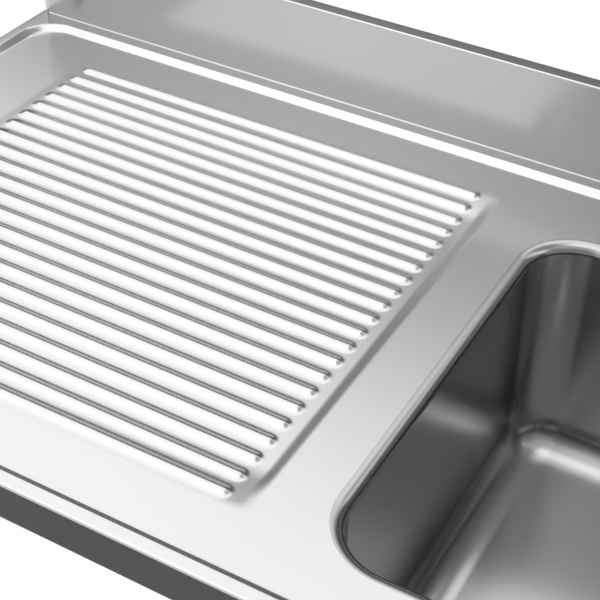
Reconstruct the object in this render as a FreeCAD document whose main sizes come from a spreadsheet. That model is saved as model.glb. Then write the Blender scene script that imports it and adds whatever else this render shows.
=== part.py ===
"""Sit-on kitchen sink top: a pressed sheet with a ribbed drainer on the left and one deep bowl on the right.

Frame: millimetres, +Z up, +X along the length towards the bowl, -Y to the user.
The origin is the middle of the four fixing holes, on the face that rests on the base.
"""
import FreeCAD, Part
import math
import os
import re
import Sketcher

Vector = FreeCAD.Vector
Rotation = FreeCAD.Rotation
Placement = FreeCAD.Placement

doc = FreeCAD.newDocument("SinkTop")

# ---------------------------------------------------------------- driving dimensions
sizes = doc.addObject("Spreadsheet::Sheet", "Sizes")
DRIVING = (
    # the pressed top
    ("upstand_height", 100, "upstand above the rim"),
    ("upstand_depth", 17, "flange on top of the upstand, front to back"),
    ("upstand_corner", 10, "radius of the upstand's front corners"),
    ("upstand_return", 15, "turned-down edge behind the flange"),
    ("apron_height", 40, "turned-down edge round the top"),
    ("apron_lip", 10, "inward lip under the apron"),
    ("apron_drop", 2, "apron below the seat"),
    ("edge_radius", 3, "outer radius of the rim's folds"),
    ("gauge", 1.2, "sheet of the top and the bowl"),
    ("rim_front", 9.8, "flat rim along the front and the ends"),
    ("rim_back", 12.6, "flat rim in front of the upstand"),
    ("step_run", 10.8, "width of the sloping step inside the rim"),
    ("step_drop", 6, "deck below the rim"),
    ("deck_corner", 35, "corner radius of the sunk deck"),
    # the drainer
    ("tray_length", 515, "pressed drainer field, left to right"),
    ("tray_corner", 18, "corner radius of the field"),
    ("tray_left", 107.5, "left end of the top to the field"),
    ("tray_back", 65.5, "upstand to the field"),
    ("tray_front", 67.5, "front edge of the top to the field"),
    ("tray_to_bowl", 47.5, "flat strip between the field and the bowl's rim"),
    ("tray_border_run", 12, "width of the field's border slope"),
    ("tray_border_drop", 8, "height of that slope where it is whole"),
    ("tray_fall", 0.6, "degrees that the field falls to the bowl"),
    ("tray_pivot", 66, "field's left end to where it crosses the deck"),
    ("rib_height", 3, "rib above the groove"),
    ("rib_pitch", 22.2, "rib to rib"),
    ("rib_count", 22, "ribs"),
    ("rib_foot", 22, "width of one rib at its foot"),
    ("rib_length", 482, "end to end"),
    ("rib_left", 11.5, "field's left end to the ribs"),
    ("rib_back", 15.4, "field's back edge to the first crest"),
    ("rib_front", 18.4, "last crest to the field's front edge"),
    ("rib_slope", 26, "degrees of a rib's flanks"),
    ("rib_sunk", 0.1, "rib's foot below the groove"),
    ("rib_root", 1, "rib's flank carried on below its foot"),
    # the bowl
    ("bowl_opening", 450, "square opening inside the rolled rim"),
    ("bowl_depth", 250, "deck to the bowl's floor"),
    ("bowl_corner", 50, "corner radius of the opening"),
    ("bowl_roll", 11, "radius of the rolled rim"),
    ("bowl_floor_radius", 38, "radius round the floor"),
    ("bowl_draft", 1.5, "degrees that each wall leans in"),
    ("bowl_right", 58, "right end of the top to the rolled rim"),
    ("bowl_back", 95, "upstand to the rolled rim"),
    ("bowl_front", 66, "front edge of the top to the rolled rim"),
    ("waste_cutout", 90, "hole in the floor"),
    ("waste_seat", 118, "dished seat round the hole"),
    ("waste_seat_drop", 3, "seat below the floor"),
    ("waste_seat_run", 4, "width of the seat's slope"),
    # the frame under the deck
    ("rail_width", 32, "width of the frame rails"),
    ("rail_gauge", 1.5, "sheet of the frame rails"),
    ("rail_lip", 8, "inward lips of the rails"),
    ("rail_setback", 44.5, "rail's middle to the upstand and to the front edge"),
    ("rail_end_gap", 4, "rail's end to the apron"),
    ("cross_left", 60, "left end to the middle of the left cross rail"),
    ("cross_right", 40, "right end to the middle of the right cross rail"),
    ("plate_length", 60, "fixing plate along the rail"),
    ("plate_width", 44, "fixing plate across the rail"),
    ("plate_thickness", 3, "fixing plate"),
    ("plate_inset", 60, "end of the top to the fixing holes"),
    ("fixing_hole", 9, "hole in a fixing plate"),
    ("stud_size", 5, "welded stud"),
    ("stud_length", 12, "welded stud below the deck"),
    ("stud_gap", 0.5, "hole round the stud, each side"),
    ("stud_spacing", 330, "stud to stud along a long rail"),
    ("nut_flats", 8, "nut across its flats"),
    ("nut_height", 4, "nut"),
    # stiffeners and damping pads
    ("stiffener_width", 60, "over the glued flanges"),
    ("stiffener_crown", 30, "hollow part of the stiffener"),
    ("stiffener_height", 12, "depth below the drainer"),
    ("stiffener_length", 440, "front to back"),
    ("stiffener_spacing", 280, "left one to right one"),
    ("pad_thickness", 2.5, "damping pads"),
    ("tray_pad_length", 180, "pad under the drainer"),
    ("tray_pad_depth", 360, "pad under the drainer"),
    ("bowl_pad_length", 260, "pads on the bowl's walls"),
    ("bowl_pad_height", 130, "pads on the bowl's walls"),
    ("bowl_pad_top", 60, "deck to the top of those pads"),
    ("floor_pad", 250, "round pad under the floor"),
    # the basket waste
    ("flange_size", 112, "flange that shows in the bowl"),
    ("cup_bore", 84, "inside of the cup"),
    ("cup_throat", 68, "inside of the cup below its shoulder"),
    ("cup_shoulder", 14, "flange to the shoulder"),
    ("cup_depth", 37, "flange to the cup's floor"),
    ("drain_hole", 10, "holes in the cup's floor"),
    ("drain_circle", 44, "circle of those holes"),
    ("drain_count", 8, "holes in the cup's floor"),
    ("seal_thickness", 1, "seal under the flange"),
    ("seal_inset", 1, "seal inside the flange's edge"),
    ("gasket_thickness", 2, "seal under the bowl"),
    ("body_size", 116, "collar of the waste body"),
    ("body_bore", 94, "inside of the waste body"),
    ("body_wall", 3, "wall of the waste body"),
    ("body_depth", 40, "collar to the funnel"),
    ("funnel_depth", 13, "height of the funnel"),
    ("outlet_size", 47.8, "outlet thread outside, one and a half inch pipe"),
    ("outlet_bore", 41, "outlet inside"),
    ("outlet_length", 30, "outlet below the funnel"),
    ("hub_size", 16, "hub that takes the clamp screw"),
    ("hub_depth", 22, "height of the hub"),
    ("arm_width", 4, "arms that carry the hub"),
    ("screw_size", 6, "clamp screw"),
    ("screw_head", 12, "head of the clamp screw"),
    ("screw_reach", 20, "clamp screw below the cup"),
    ("fit", 0.3, "clearance in sliding and screwed fits"),
    ("basket_gauge", 1, "sheet of the basket"),
    ("basket_clearance", 0.6, "basket inside the cup"),
    ("basket_rim", 5, "upright rim above the basket's cone"),
    ("basket_depth", 20, "rim to the basket's floor"),
    ("slot_width", 3, "slots in the basket's wall"),
    ("slot_height", 7, "slots in the basket's wall"),
    ("slot_count", 12, "slots in the basket's wall"),
    ("plug_thickness", 3, "rubber plug under the basket"),
    ("knob_size", 20, "knob that lifts the basket"),
    ("knob_height", 5, "head of the knob"),
    ("knob_stem", 6, "stem of the knob"),
    ("knob_rise", 24, "basket's floor to the top of the knob"),
)
for row, (alias, number, meaning) in enumerate(DRIVING, start=1):
    sizes.set(f"A{row}", meaning)
    sizes.set(f"B{row}", str(number))
    sizes.setAlias(f"B{row}", alias)

# ---------------------------------------------------------------- places worked out from them
places = doc.addObject("Spreadsheet::Sheet", "Places")
WORKED_OUT = (
    ("rim_of_bowl", "bowl_opening + 2 * bowl_roll"),
    ("tray_depth", "rib_back + (rib_count - 1) * rib_pitch + rib_front"),
    ("overall_length", "tray_left + tray_length + tray_to_bowl + rim_of_bowl + bowl_right"),
    ("fold_to_front", "max(tray_back + tray_depth + tray_front; bowl_back + rim_of_bowl + bowl_front)"),
    ("end_x", "overall_length / 2"),
    ("fold_y", "fold_to_front / 2"),
    ("rim_z", "apron_height - apron_drop"),
    ("deck_z", "rim_z - step_drop"),
    ("under_z", "deck_z - gauge"),
    ("back_y", "fold_y + upstand_depth"),
    ("rail_y", "fold_y - rail_setback"),
    ("rail_height", "under_z - plate_thickness"),
    ("sunk_length", "overall_length - 2 * (rim_front + step_run)"),
    ("sunk_depth", "fold_to_front - rim_front - rim_back - 2 * step_run"),
    ("sunk_y", "(rim_front - rim_back) / 2"),
    ("tray_x", "tray_left + tray_length / 2 - end_x"),
    ("tray_y", "fold_y - tray_back - tray_depth / 2"),
    ("pivot_x", "tray_left + tray_pivot - end_x"),
    ("tray_right", "tray_left + tray_length - end_x"),
    ("first_rib_y", "fold_y - tray_back - rib_back"),
    ("bowl_x", "end_x - bowl_right - rim_of_bowl / 2"),
    ("bowl_y", "fold_y - bowl_back - rim_of_bowl / 2"),
    ("bowl_floor_z", "deck_z - bowl_depth"),
    ("seat_z", "bowl_floor_z - waste_seat_drop"),
    ("cross_middle_x", "(tray_right + bowl_x - rim_of_bowl / 2) / 2"),
    ("flange_z", "seat_z + seal_thickness"),
    ("cup_floor_z", "flange_z - cup_depth"),
    ("shoulder_z", "flange_z - cup_shoulder"),
    ("throat_z", "shoulder_z - (cup_bore - cup_throat) / 2"),
    ("collar_z", "seat_z - gauge - gasket_thickness"),
    ("funnel_z", "collar_z - body_depth"),
    ("outlet_z", "funnel_z - funnel_depth"),
    ("basket_floor_z", "shoulder_z + basket_rim - basket_depth"),
)
worked_names = {alias for alias, text in WORKED_OUT}
driving_names = {alias for alias, number, meaning in DRIVING}


def formula(text):
    """The same formula with each word pointing at its sheet."""
    def point(word):
        name = word.group()
        if name in driving_names:
            return "Sizes." + name
        if name in worked_names:
            return "Places." + name
        return name
    return re.sub(r"[a-z][a-z_]*", point, text)


for row, (alias, text) in enumerate(WORKED_OUT, start=1):
    places.set(f"A{row}", alias.replace("_", " "))
    places.set(f"B{row}", "=" + formula(text).replace("Places.", ""))
    places.setAlias(f"B{row}", alias)
doc.recompute()


def value(name):
    """The number behind one word of either sheet."""
    holder = places if name in worked_names else sizes
    return float(getattr(holder, name))


def bind(thing, **formulas):
    """Ties properties of an object to the sheets; Base_x stands for Placement.Base.x."""
    for name, text in formulas.items():
        if name.startswith("Base_"):
            name = "Placement.Base." + name[-1]
        thing.setExpression(name, formula(text))
    return thing


# ---------------------------------------------------------------- small construction helpers
def add(kind, name, **formulas):
    return bind(doc.addObject(kind, name), **formulas)


def box(name, length, width, height, low_x, low_y, low_z):
    return add("Part::Box", name, Length=length, Width=width, Height=height,
               Base_x=low_x, Base_y=low_y, Base_z=low_z)


def cylinder(name, diameter, height, mid_x, mid_y, low_z):
    return add("Part::Cylinder", name, Radius=f"({diameter}) / 2", Height=height,
               Base_x=mid_x, Base_y=mid_y, Base_z=low_z)


def fuse(name, *parts):
    joined = doc.addObject("Part::MultiFuse", name)
    joined.Shapes = list(parts)
    return joined


def cut(name, base, tool):
    left = doc.addObject("Part::Cut", name)
    left.Base = base
    left.Tool = tool
    return left


def common(name, first, second):
    shared = doc.addObject("Part::Common", name)
    shared.Base = first
    shared.Tool = second
    return shared


def group(name, *parts):
    """Several like pieces that share one node."""
    bundle = doc.addObject("Part::Compound", name)
    bundle.Links = list(parts)
    return bundle


def plane_of(body, role):
    for feature in body.Origin.OriginFeatures:
        if feature.Role == role:
            return feature
    raise ValueError(role)


def sketch_in(body, name, role, offset="0"):
    """A sketch on one of the body's own planes, moved along its normal."""
    sketch = body.newObject("Sketcher::SketchObject", name)
    sketch.AttachmentSupport = (plane_of(body, role), "")
    sketch.MapMode = "FlatFace"
    sketch.setExpression("AttachmentOffset.Base.z", formula(offset))
    return sketch


def limit(sketch, name, kind, *references, size):
    """A named constraint whose size comes from the sheets."""
    index = sketch.addConstraint(Sketcher.Constraint(kind, *references))
    sketch.renameConstraint(index, name)
    sketch.setExpression("Constraints." + name, formula(size))


def draw_rounded_rectangle(sketch, width, depth, radius):
    """A rounded rectangle round the sketch's origin, fully constrained."""
    half_w, half_d, corner = 100.0, 90.0, 20.0
    east, north = half_w - corner, half_d - corner
    quarter = 1.5707963267948966
    line = Part.LineSegment
    runs = (
        line(Vector(-east, half_d), Vector(east, half_d)),
        line(Vector(half_w, north), Vector(half_w, -north)),
        line(Vector(east, -half_d), Vector(-east, -half_d)),
        line(Vector(-half_w, -north), Vector(-half_w, north)),
    )
    centres = ((east, north, 0), (east, -north, 3), (-east, -north, 2), (-east, north, 1))
    for run in runs:
        sketch.addGeometry(run)
    for x, y, turn in centres:
        circle = Part.Circle(Vector(x, y), Vector(0, 0, 1), corner)
        sketch.addGeometry(Part.ArcOfCircle(circle, turn * quarter, (turn + 1) * quarter))
    for index in range(4):
        arc, following = 4 + index, (index + 1) % 4
        sketch.addConstraint(Sketcher.Constraint("Tangent", index, 2, arc, 2))
        sketch.addConstraint(Sketcher.Constraint("Tangent", arc, 1, following, 1))
        if index % 2 == 0:
            sketch.addConstraint(Sketcher.Constraint("Horizontal", index))
        else:
            sketch.addConstraint(Sketcher.Constraint("Vertical", index))
        if index:
            sketch.addConstraint(Sketcher.Constraint("Equal", 4, arc))
    sketch.addConstraint(Sketcher.Constraint("Symmetric", 4, 3, 6, 3, -1, 1))
    limit(sketch, "corner", "Radius", 4, corner, size=radius)
    limit(sketch, "width", "DistanceX", 3, 1, 1, 1, 2 * half_w, size=width)
    limit(sketch, "depth", "DistanceY", 2, 1, 0, 1, 2 * half_d, size=depth)


def outline(name, width, depth, radius, mid_x, mid_y, level):
    """A rounded rectangle lying level at its place."""
    sketch = doc.addObject("Sketcher::SketchObject", name)
    draw_rounded_rectangle(sketch, width, depth, radius)
    return bind(sketch, Base_x=mid_x, Base_y=mid_y, Base_z=level)


def loft(name, lower, upper):
    """A solid with ruled sides between two outlines."""
    solid = doc.addObject("Part::Loft", name)
    solid.Sections = [lower, upper]
    solid.Solid = True
    solid.Ruled = True
    return solid


def draw_profile(sketch, points):
    """A closed profile of straight runs; each corner is (x formula, y formula, x, y)."""
    last = len(points) - 1
    for index, (text_x, text_y) in enumerate(points):
        here = Vector(number_of(text_x), number_of(text_y))
        following = points[0 if index == last else index + 1]
        there = Vector(number_of(following[0]), number_of(following[1]))
        sketch.addGeometry(Part.LineSegment(here, there))
    for index, (text_x, text_y) in enumerate(points):
        following = 0 if index == last else index + 1
        sketch.addConstraint(Sketcher.Constraint("Coincident", index, 2, following, 1))
        x, y = number_of(text_x), number_of(text_y)
        limit(sketch, f"x{index}", "DistanceX", -1, 1, index, 1, x, size=text_x)
        limit(sketch, f"y{index}", "DistanceY", -1, 1, index, 1, y, size=text_y)


def number_of(text):
    """What a formula of the sheets comes to."""
    probe.setExpression("Value", formula(text))
    probe.recompute()
    return float(probe.Value)


probe = doc.addObject("App::FeaturePython", "Probe")
probe.addProperty("App::PropertyFloat", "Value")


def pad(body, sketch, length, name, reversed_way=False, taper=None):
    feature = body.newObject("PartDesign::Pad", name)
    feature.Profile = sketch
    bind(feature, Length=length)
    feature.Reversed = reversed_way
    if taper:
        bind(feature, TaperAngle=taper)
    doc.recompute()
    return feature


def rounding(body, base, test, radius, name):
    """A fillet on the edges of the last feature that pass a test."""
    names = [f"Edge{i}" for i, edge in enumerate(base.Shape.Edges, start=1) if test(edge)]
    feature = body.newObject("PartDesign::Fillet", name)
    feature.Base = (base, names)
    bind(feature, Radius=radius)
    doc.recompute()
    return feature


def level_at(edge, height):
    """True for an edge that lies level at a height."""
    return all(abs(v.Z - height) < 0.01 for v in edge.Vertexes)


def near(first, second):
    return abs(first - second) < 0.01


# ---------------------------------------------------------------- the pressed top
def tray_of_sheet(name, inset, low, high, radius):
    """The block that the top's deck and aprons enclose, with its folds rounded."""
    body = doc.addObject("PartDesign::Body", name)
    sketch = sketch_in(body, name + "Plan", "XY_Plane", low)
    draw_profile(sketch, (
        (f"0 - end_x + {inset}", f"0 - fold_y + {inset}"),
        (f"end_x - {inset}", f"0 - fold_y + {inset}"),
        (f"end_x - {inset}", f"fold_y + {inset}"),
        (f"0 - end_x + {inset}", f"fold_y + {inset}"),
    ))
    block = pad(body, sketch, f"{high} - ({low})", name + "Pad")
    front, top = number_of(f"0 - fold_y + {inset}"), number_of(high)
    back = number_of(f"fold_y + {inset}")

    def folded(edge):
        upright = near(edge.BoundBox.XLength, 0) and near(edge.BoundBox.YLength, 0)
        if upright:
            return near(edge.BoundBox.YMin, front)
        return level_at(edge, top) and not near(edge.BoundBox.YMin, back)

    rounding(body, block, folded, radius, name + "Folds")
    return body


# what lies above the pressed surface, inside the rim
step_air = loft(
    "StepAir",
    outline("StepFoot", "sunk_length", "sunk_depth", "deck_corner", "0", "sunk_y", "deck_z"),
    outline("StepHead", "sunk_length + 2 * step_run", "sunk_depth + 2 * step_run",
            "deck_corner + step_run", "0", "sunk_y", "rim_z"),
)


def tray_frustum(name, way):
    """The drainer field's border slope, carried below or above the deck."""
    mouth = outline(name + "Mouth", "tray_length", "tray_depth", "tray_corner",
                    "tray_x", "tray_y", "deck_z")
    far = outline(name + "Far", "tray_length - 2 * tray_border_run",
                  "tray_depth - 2 * tray_border_run", "tray_corner - tray_border_run",
                  "tray_x", "tray_y", f"deck_z {way} tray_border_drop")
    return loft(name, far, mouth) if way == "-" else loft(name, mouth, far)


def beside_fall(name, above):
    """Everything above, or everything below, the falling floor of the drainer."""
    reach = "overall_length"
    slab = box(name, f"2 * {reach}", f"2 * {reach}", reach, "0", "0", "0")
    corner = Vector(-number_of(reach), -number_of(reach), 0 if above else -number_of(reach))
    tilt = Rotation(Vector(0, 1, 0), value("tray_fall"))
    pivot = Vector(value("pivot_x"), value("tray_y"), value("deck_z"))
    for axis in "xyz":
        slab.setExpression("Placement.Base." + axis, None)
    slab.Placement = Placement(pivot, tilt).multiply(Placement(corner, Rotation()))
    return slab


def drainer_field(name):
    """The falling floor with its ribs: each rib is a run with a domed end."""
    body = doc.addObject("PartDesign::Body", name)
    body.AllowCompound = True
    plan = sketch_in(body, name + "Plan", "XY_Plane")
    floor_left = "tray_border_run * 2 / 3 - tray_pivot"
    floor_right = "tray_length - tray_pivot - tray_border_run * 2 / 3"
    floor_half = "(tray_depth / 2 - tray_border_run * 2 / 3)"
    draw_profile(plan, (
        (floor_left, f"0 - {floor_half}"),
        (floor_right, f"0 - {floor_half}"),
        (floor_right, floor_half),
        (floor_left, floor_half),
    ))
    pad(body, plan, "rib_height", name + "Floor", reversed_way=True)
    half_foot = "rib_foot / 2"
    first_end = f"rib_left - tray_pivot + {half_foot}"
    straight = f"rib_length - rib_foot"
    crest_y = "first_rib_y - tray_y"
    section = sketch_in(body, name + "Section", "YZ_Plane", first_end)
    draw_rib_section(section, crest_y, whole=True)
    run = pad(body, section, straight, name + "Run")
    left = sketch_in(body, name + "LeftHalf", "YZ_Plane", first_end)
    draw_rib_section(left, crest_y, whole=False)
    left_dome = half_turn(body, left, name + "LeftDome", False)
    right = sketch_in(body, name + "RightHalf", "YZ_Plane", f"{first_end} + {straight}")
    draw_rib_section(right, crest_y, whole=False)
    right_dome = half_turn(body, right, name + "RightDome", True)
    row_of_ribs = body.newObject("PartDesign::LinearPattern", name + "Row")
    row_of_ribs.Originals = [run, left_dome, right_dome]
    row_of_ribs.Direction = (plane_of(body, "Y_Axis"), [""])
    row_of_ribs.Reversed = True
    bind(row_of_ribs, Length="(rib_count - 1) * rib_pitch", Occurrences="rib_count")
    body.Tip = row_of_ribs
    body.Placement = Placement(
        Vector(value("pivot_x"), value("tray_y"), value("deck_z")),
        Rotation(Vector(0, 1, 0), value("tray_fall")),
    )
    doc.recompute()
    return body


RISE = "(rib_height + rib_sunk)"
CREST_RADIUS = f"((rib_foot / 2 - {RISE} / tan(rib_slope)) / tan(rib_slope / 2))"


def draw_rib_section(sketch, crest_y, whole):
    """A round crest with straight flanks; half of it for a domed end."""
    bend = number_of(CREST_RADIUS)
    slope = math.radians(value("rib_slope"))
    middle, half_foot = number_of(crest_y), value("rib_foot") / 2
    crest_z, foot_z = value("rib_height"), -value("rib_sunk")
    root_z = foot_z - value("rib_root")
    centre = Vector(middle, crest_z - bend)
    shoulder = Vector(bend * math.sin(slope), bend * math.cos(slope))
    quarter = math.pi / 2
    line, join = Part.LineSegment, Sketcher.Constraint
    crest_to = quarter + slope if whole else quarter
    right_foot = Vector(middle + half_foot, foot_z)
    right_root = Vector(middle + half_foot, root_z)
    left_root = Vector(middle - half_foot if whole else middle, root_z)
    sketch.addGeometry(Part.ArcOfCircle(Part.Circle(centre, Vector(0, 0, 1), bend),
                                        quarter - slope, crest_to))
    sketch.addGeometry(line(centre + shoulder, right_foot))
    sketch.addGeometry(line(right_foot, right_root))
    sketch.addGeometry(line(right_root, left_root))
    sketch.addConstraint(join("Tangent", 0, 1, 1, 1))
    sketch.addConstraint(join("Coincident", 1, 2, 2, 1))
    sketch.addConstraint(join("Vertical", 2))
    sketch.addConstraint(join("Coincident", 2, 2, 3, 1))
    sketch.addConstraint(join("Horizontal", 3))
    if whole:
        left_foot = Vector(middle - half_foot, foot_z)
        sketch.addGeometry(line(left_root, left_foot))
        sketch.addGeometry(line(left_foot, centre + Vector(-shoulder.x, shoulder.y)))
        sketch.addConstraint(join("Coincident", 3, 2, 4, 1))
        sketch.addConstraint(join("Vertical", 4))
        sketch.addConstraint(join("Coincident", 4, 2, 5, 1))
        sketch.addConstraint(join("Tangent", 5, 2, 0, 2))
        sketch.addConstraint(join("Equal", 1, 5))
        sketch.addConstraint(join("Horizontal", 1, 2, 5, 1))
        limit(sketch, "left", "DistanceX", -1, 1, 5, 1, middle - half_foot,
              size=f"{crest_y} - rib_foot / 2")
        limit(sketch, "crest", "DistanceY", -1, 1, 0, 3, crest_z - bend,
              size=f"rib_height - {CREST_RADIUS}")
    else:
        sketch.addGeometry(line(left_root, Vector(middle, crest_z)))
        sketch.addConstraint(join("Coincident", 3, 2, 4, 1))
        sketch.addConstraint(join("Vertical", 4))
        sketch.addConstraint(join("Coincident", 4, 2, 0, 2))
        sketch.addConstraint(join("PointOnObject", 0, 3, 4))
        limit(sketch, "crest", "DistanceY", -1, 1, 4, 2, crest_z, size="rib_height")
        limit(sketch, "middle", "DistanceX", -1, 1, 4, 2, middle, size=crest_y)
        axis = sketch.addGeometry(line(left_root, Vector(middle, crest_z)), True)
        sketch.addConstraint(join("Coincident", axis, 1, 4, 1))
        sketch.addConstraint(join("Coincident", axis, 2, 4, 2))
    limit(sketch, "slope", "Angle", 1, -slope, size="0 - rib_slope")
    limit(sketch, "foot", "DistanceY", -1, 1, 1, 2, foot_z, size="0 - rib_sunk")
    limit(sketch, "right", "DistanceX", -1, 1, 1, 2, middle + half_foot,
          size=f"{crest_y} + rib_foot / 2")
    limit(sketch, "root", "DistanceY", 2, 2, 2, 1, value("rib_root"), size="rib_root")


def half_turn(body, sketch, name, reversed_way):
    dome = body.newObject("PartDesign::Revolution", name)
    dome.Profile = sketch
    dome.ReferenceAxis = (sketch, ["Axis0"])
    dome.Angle = 180
    dome.Reversed = reversed_way
    doc.recompute()
    return dome


sunk_air = fuse("SunkAir", step_air, common("FieldAir", tray_frustum("FieldSink", "-"),
                                           beside_fall("AboveFall", True)))
raised = fuse("Raised", common("RaisedEdge", tray_frustum("FieldRise", "+"),
                               beside_fall("BelowFall", False)), drainer_field("DrainerField"))
pressing_air = cut("PressingAir", sunk_air, raised)
air_below = group("PressingAirBelow", pressing_air)
bind(air_below, Base_z="0 - gauge")

outer_block = tray_of_sheet("OuterBlock", "0", "0 - apron_drop", "rim_z", "edge_radius")
inner_block = tray_of_sheet("InnerBlock", "gauge", "0 - apron_drop + gauge", "rim_z - gauge",
                            "edge_radius - gauge")
inner_opening = box("ApronOpening", "overall_length - 2 * apron_lip", "fold_to_front",
                    "2 * gauge", "apron_lip - end_x", "apron_lip - fold_y",
                    "0 - apron_drop - gauge / 2")
side_aprons = box("SideAprons", "overall_length", "upstand_depth", "apron_height",
                  "0 - end_x", "fold_y", "0 - apron_drop")
behind_fold = box("BehindFold", "overall_length - 2 * gauge", "2 * upstand_depth",
                  "apron_height", "gauge - end_x", "fold_y", "0 - apron_drop - gauge")
up_into_upstand = box("UpIntoUpstand", "overall_length - 2 * upstand_corner", "2 * upstand_depth",
                      "3 * gauge", "upstand_corner - end_x", "fold_y + gauge",
                      "rim_z - 2 * gauge")


def upstand_plan(name, length):
    """The upstand's plan: square behind, with its front corners rounded."""
    body = doc.addObject("PartDesign::Body", name)
    sketch = sketch_in(body, name + "Plan", "XY_Plane", "rim_z")
    draw_profile(sketch, (
        (f"0 - {length} / 2", "fold_y"),
        (f"{length} / 2", "fold_y"),
        (f"{length} / 2", "back_y"),
        (f"0 - {length} / 2", "back_y"),
    ))
    block = pad(body, sketch, "upstand_height", name + "Pad")
    front, top = number_of("fold_y"), number_of("rim_z + upstand_height")

    def front_corner(edge):
        upright = near(edge.BoundBox.XLength, 0) and near(edge.BoundBox.YLength, 0)
        return upright and near(edge.BoundBox.YMin, front)

    def top_front(edge):
        return level_at(edge, top) and near(edge.BoundBox.YMin, front)

    corners = rounding(body, block, front_corner, "upstand_corner", name + "Corners")
    rounding(body, corners, top_front, "edge_radius - gauge", name + "Fold")
    return body


upstand = upstand_plan("Upstand", "overall_length")
upstand_void = box("UpstandVoid", "2 * overall_length", "upstand_depth - 2 * gauge",
                   "upstand_height - gauge", "0 - overall_length", "fold_y + gauge", "rim_z")
behind_void = box("BehindReturn", "2 * overall_length", "upstand_depth",
                  "upstand_height - upstand_return", "0 - overall_length",
                  "fold_y + 2 * gauge", "rim_z")


def end_notch(name, left):
    """Room for the cap at one end of the upstand."""
    low = "0 - end_x - upstand_corner" if left else "end_x - upstand_corner"
    return box(name, "2 * upstand_corner", "2 * upstand_depth", "upstand_height - gauge",
               low, "fold_y - gauge", "rim_z")


bowl_cut = add("Part::Extrusion", "BowlCut", LengthFwd="4 * step_drop")
bowl_cut.Base = outline("BowlCutPlan", "rim_of_bowl", "rim_of_bowl", "bowl_corner + bowl_roll",
                        "bowl_x", "bowl_y", "under_z - step_drop")
bowl_cut.DirMode = "Custom"
bowl_cut.Dir = Vector(0, 0, 1)
bowl_cut.Solid = True

outside = fuse("Outside", cut("PressedOutside", outer_block, pressing_air), side_aprons, upstand)
inside = fuse("Inside", cut("PressedInside", inner_block, air_below), inner_opening, behind_fold,
              up_into_upstand, upstand_void, behind_void, end_notch("LeftNotch", True),
              end_notch("RightNotch", False), bowl_cut)
sink_top = cut("sink_top", outside, inside)


def end_cap(name, left):
    """The plate that closes one end of the upstand and turns round its front corner."""
    sign = "0 - " if left else ""
    body = doc.addObject("PartDesign::Body", name)
    sketch = sketch_in(body, name + "Plan", "XY_Plane", "rim_z")
    side = -1 if left else 1
    end, front, back = number_of("end_x"), number_of("fold_y"), number_of("back_y")
    corner, wall = value("upstand_corner"), value("gauge")
    line = Part.LineSegment
    middle = Vector(side * (end - corner), front + corner)
    start, stop = (math.pi, 1.5 * math.pi) if left else (1.5 * math.pi, 2 * math.pi)
    for radius in (corner, corner - wall):
        circle = Part.Circle(middle, Vector(0, 0, 1), radius)
        sketch.addGeometry(Part.ArcOfCircle(circle, start, stop))
    side_end, front_end = (1, 2) if left else (2, 1)
    outer_x, inner_x = side * end, side * (end - wall)
    sketch.addGeometry(line(Vector(outer_x, middle.y), Vector(outer_x, back)))
    sketch.addGeometry(line(Vector(outer_x, back), Vector(inner_x, back)))
    sketch.addGeometry(line(Vector(inner_x, back), Vector(inner_x, middle.y)))
    sketch.addGeometry(line(Vector(middle.x, front), Vector(middle.x, front + wall)))
    join = Sketcher.Constraint
    sketch.addConstraint(join("Tangent", 0, side_end, 2, 1))
    sketch.addConstraint(join("Coincident", 2, 2, 3, 1))
    sketch.addConstraint(join("Coincident", 3, 2, 4, 1))
    sketch.addConstraint(join("Tangent", 4, 2, 1, side_end))
    sketch.addConstraint(join("Coincident", 0, front_end, 5, 1))
    sketch.addConstraint(join("Coincident", 1, front_end, 5, 2))
    sketch.addConstraint(join("Coincident", 0, 3, 1, 3))
    sketch.addConstraint(join("Horizontal", 3))
    sketch.addConstraint(join("Vertical", 2))
    sketch.addConstraint(join("Vertical", 5))
    limit(sketch, "radius", "Radius", 0, corner, size="upstand_corner")
    limit(sketch, "wall", "DistanceY", 5, 1, 5, 2, wall, size="gauge")
    limit(sketch, "end", "DistanceX", -1, 1, 2, 2, outer_x, size=f"{sign}end_x")
    limit(sketch, "back", "DistanceY", -1, 1, 2, 2, back, size="back_y")
    limit(sketch, "front", "DistanceY", -1, 1, 5, 1, front, size="fold_y")
    pad(body, sketch, "upstand_height - gauge", name + "Pad")
    return body


end_cap("upstand_end_cap_left", True)
end_cap("upstand_end_cap_right", False)


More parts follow.
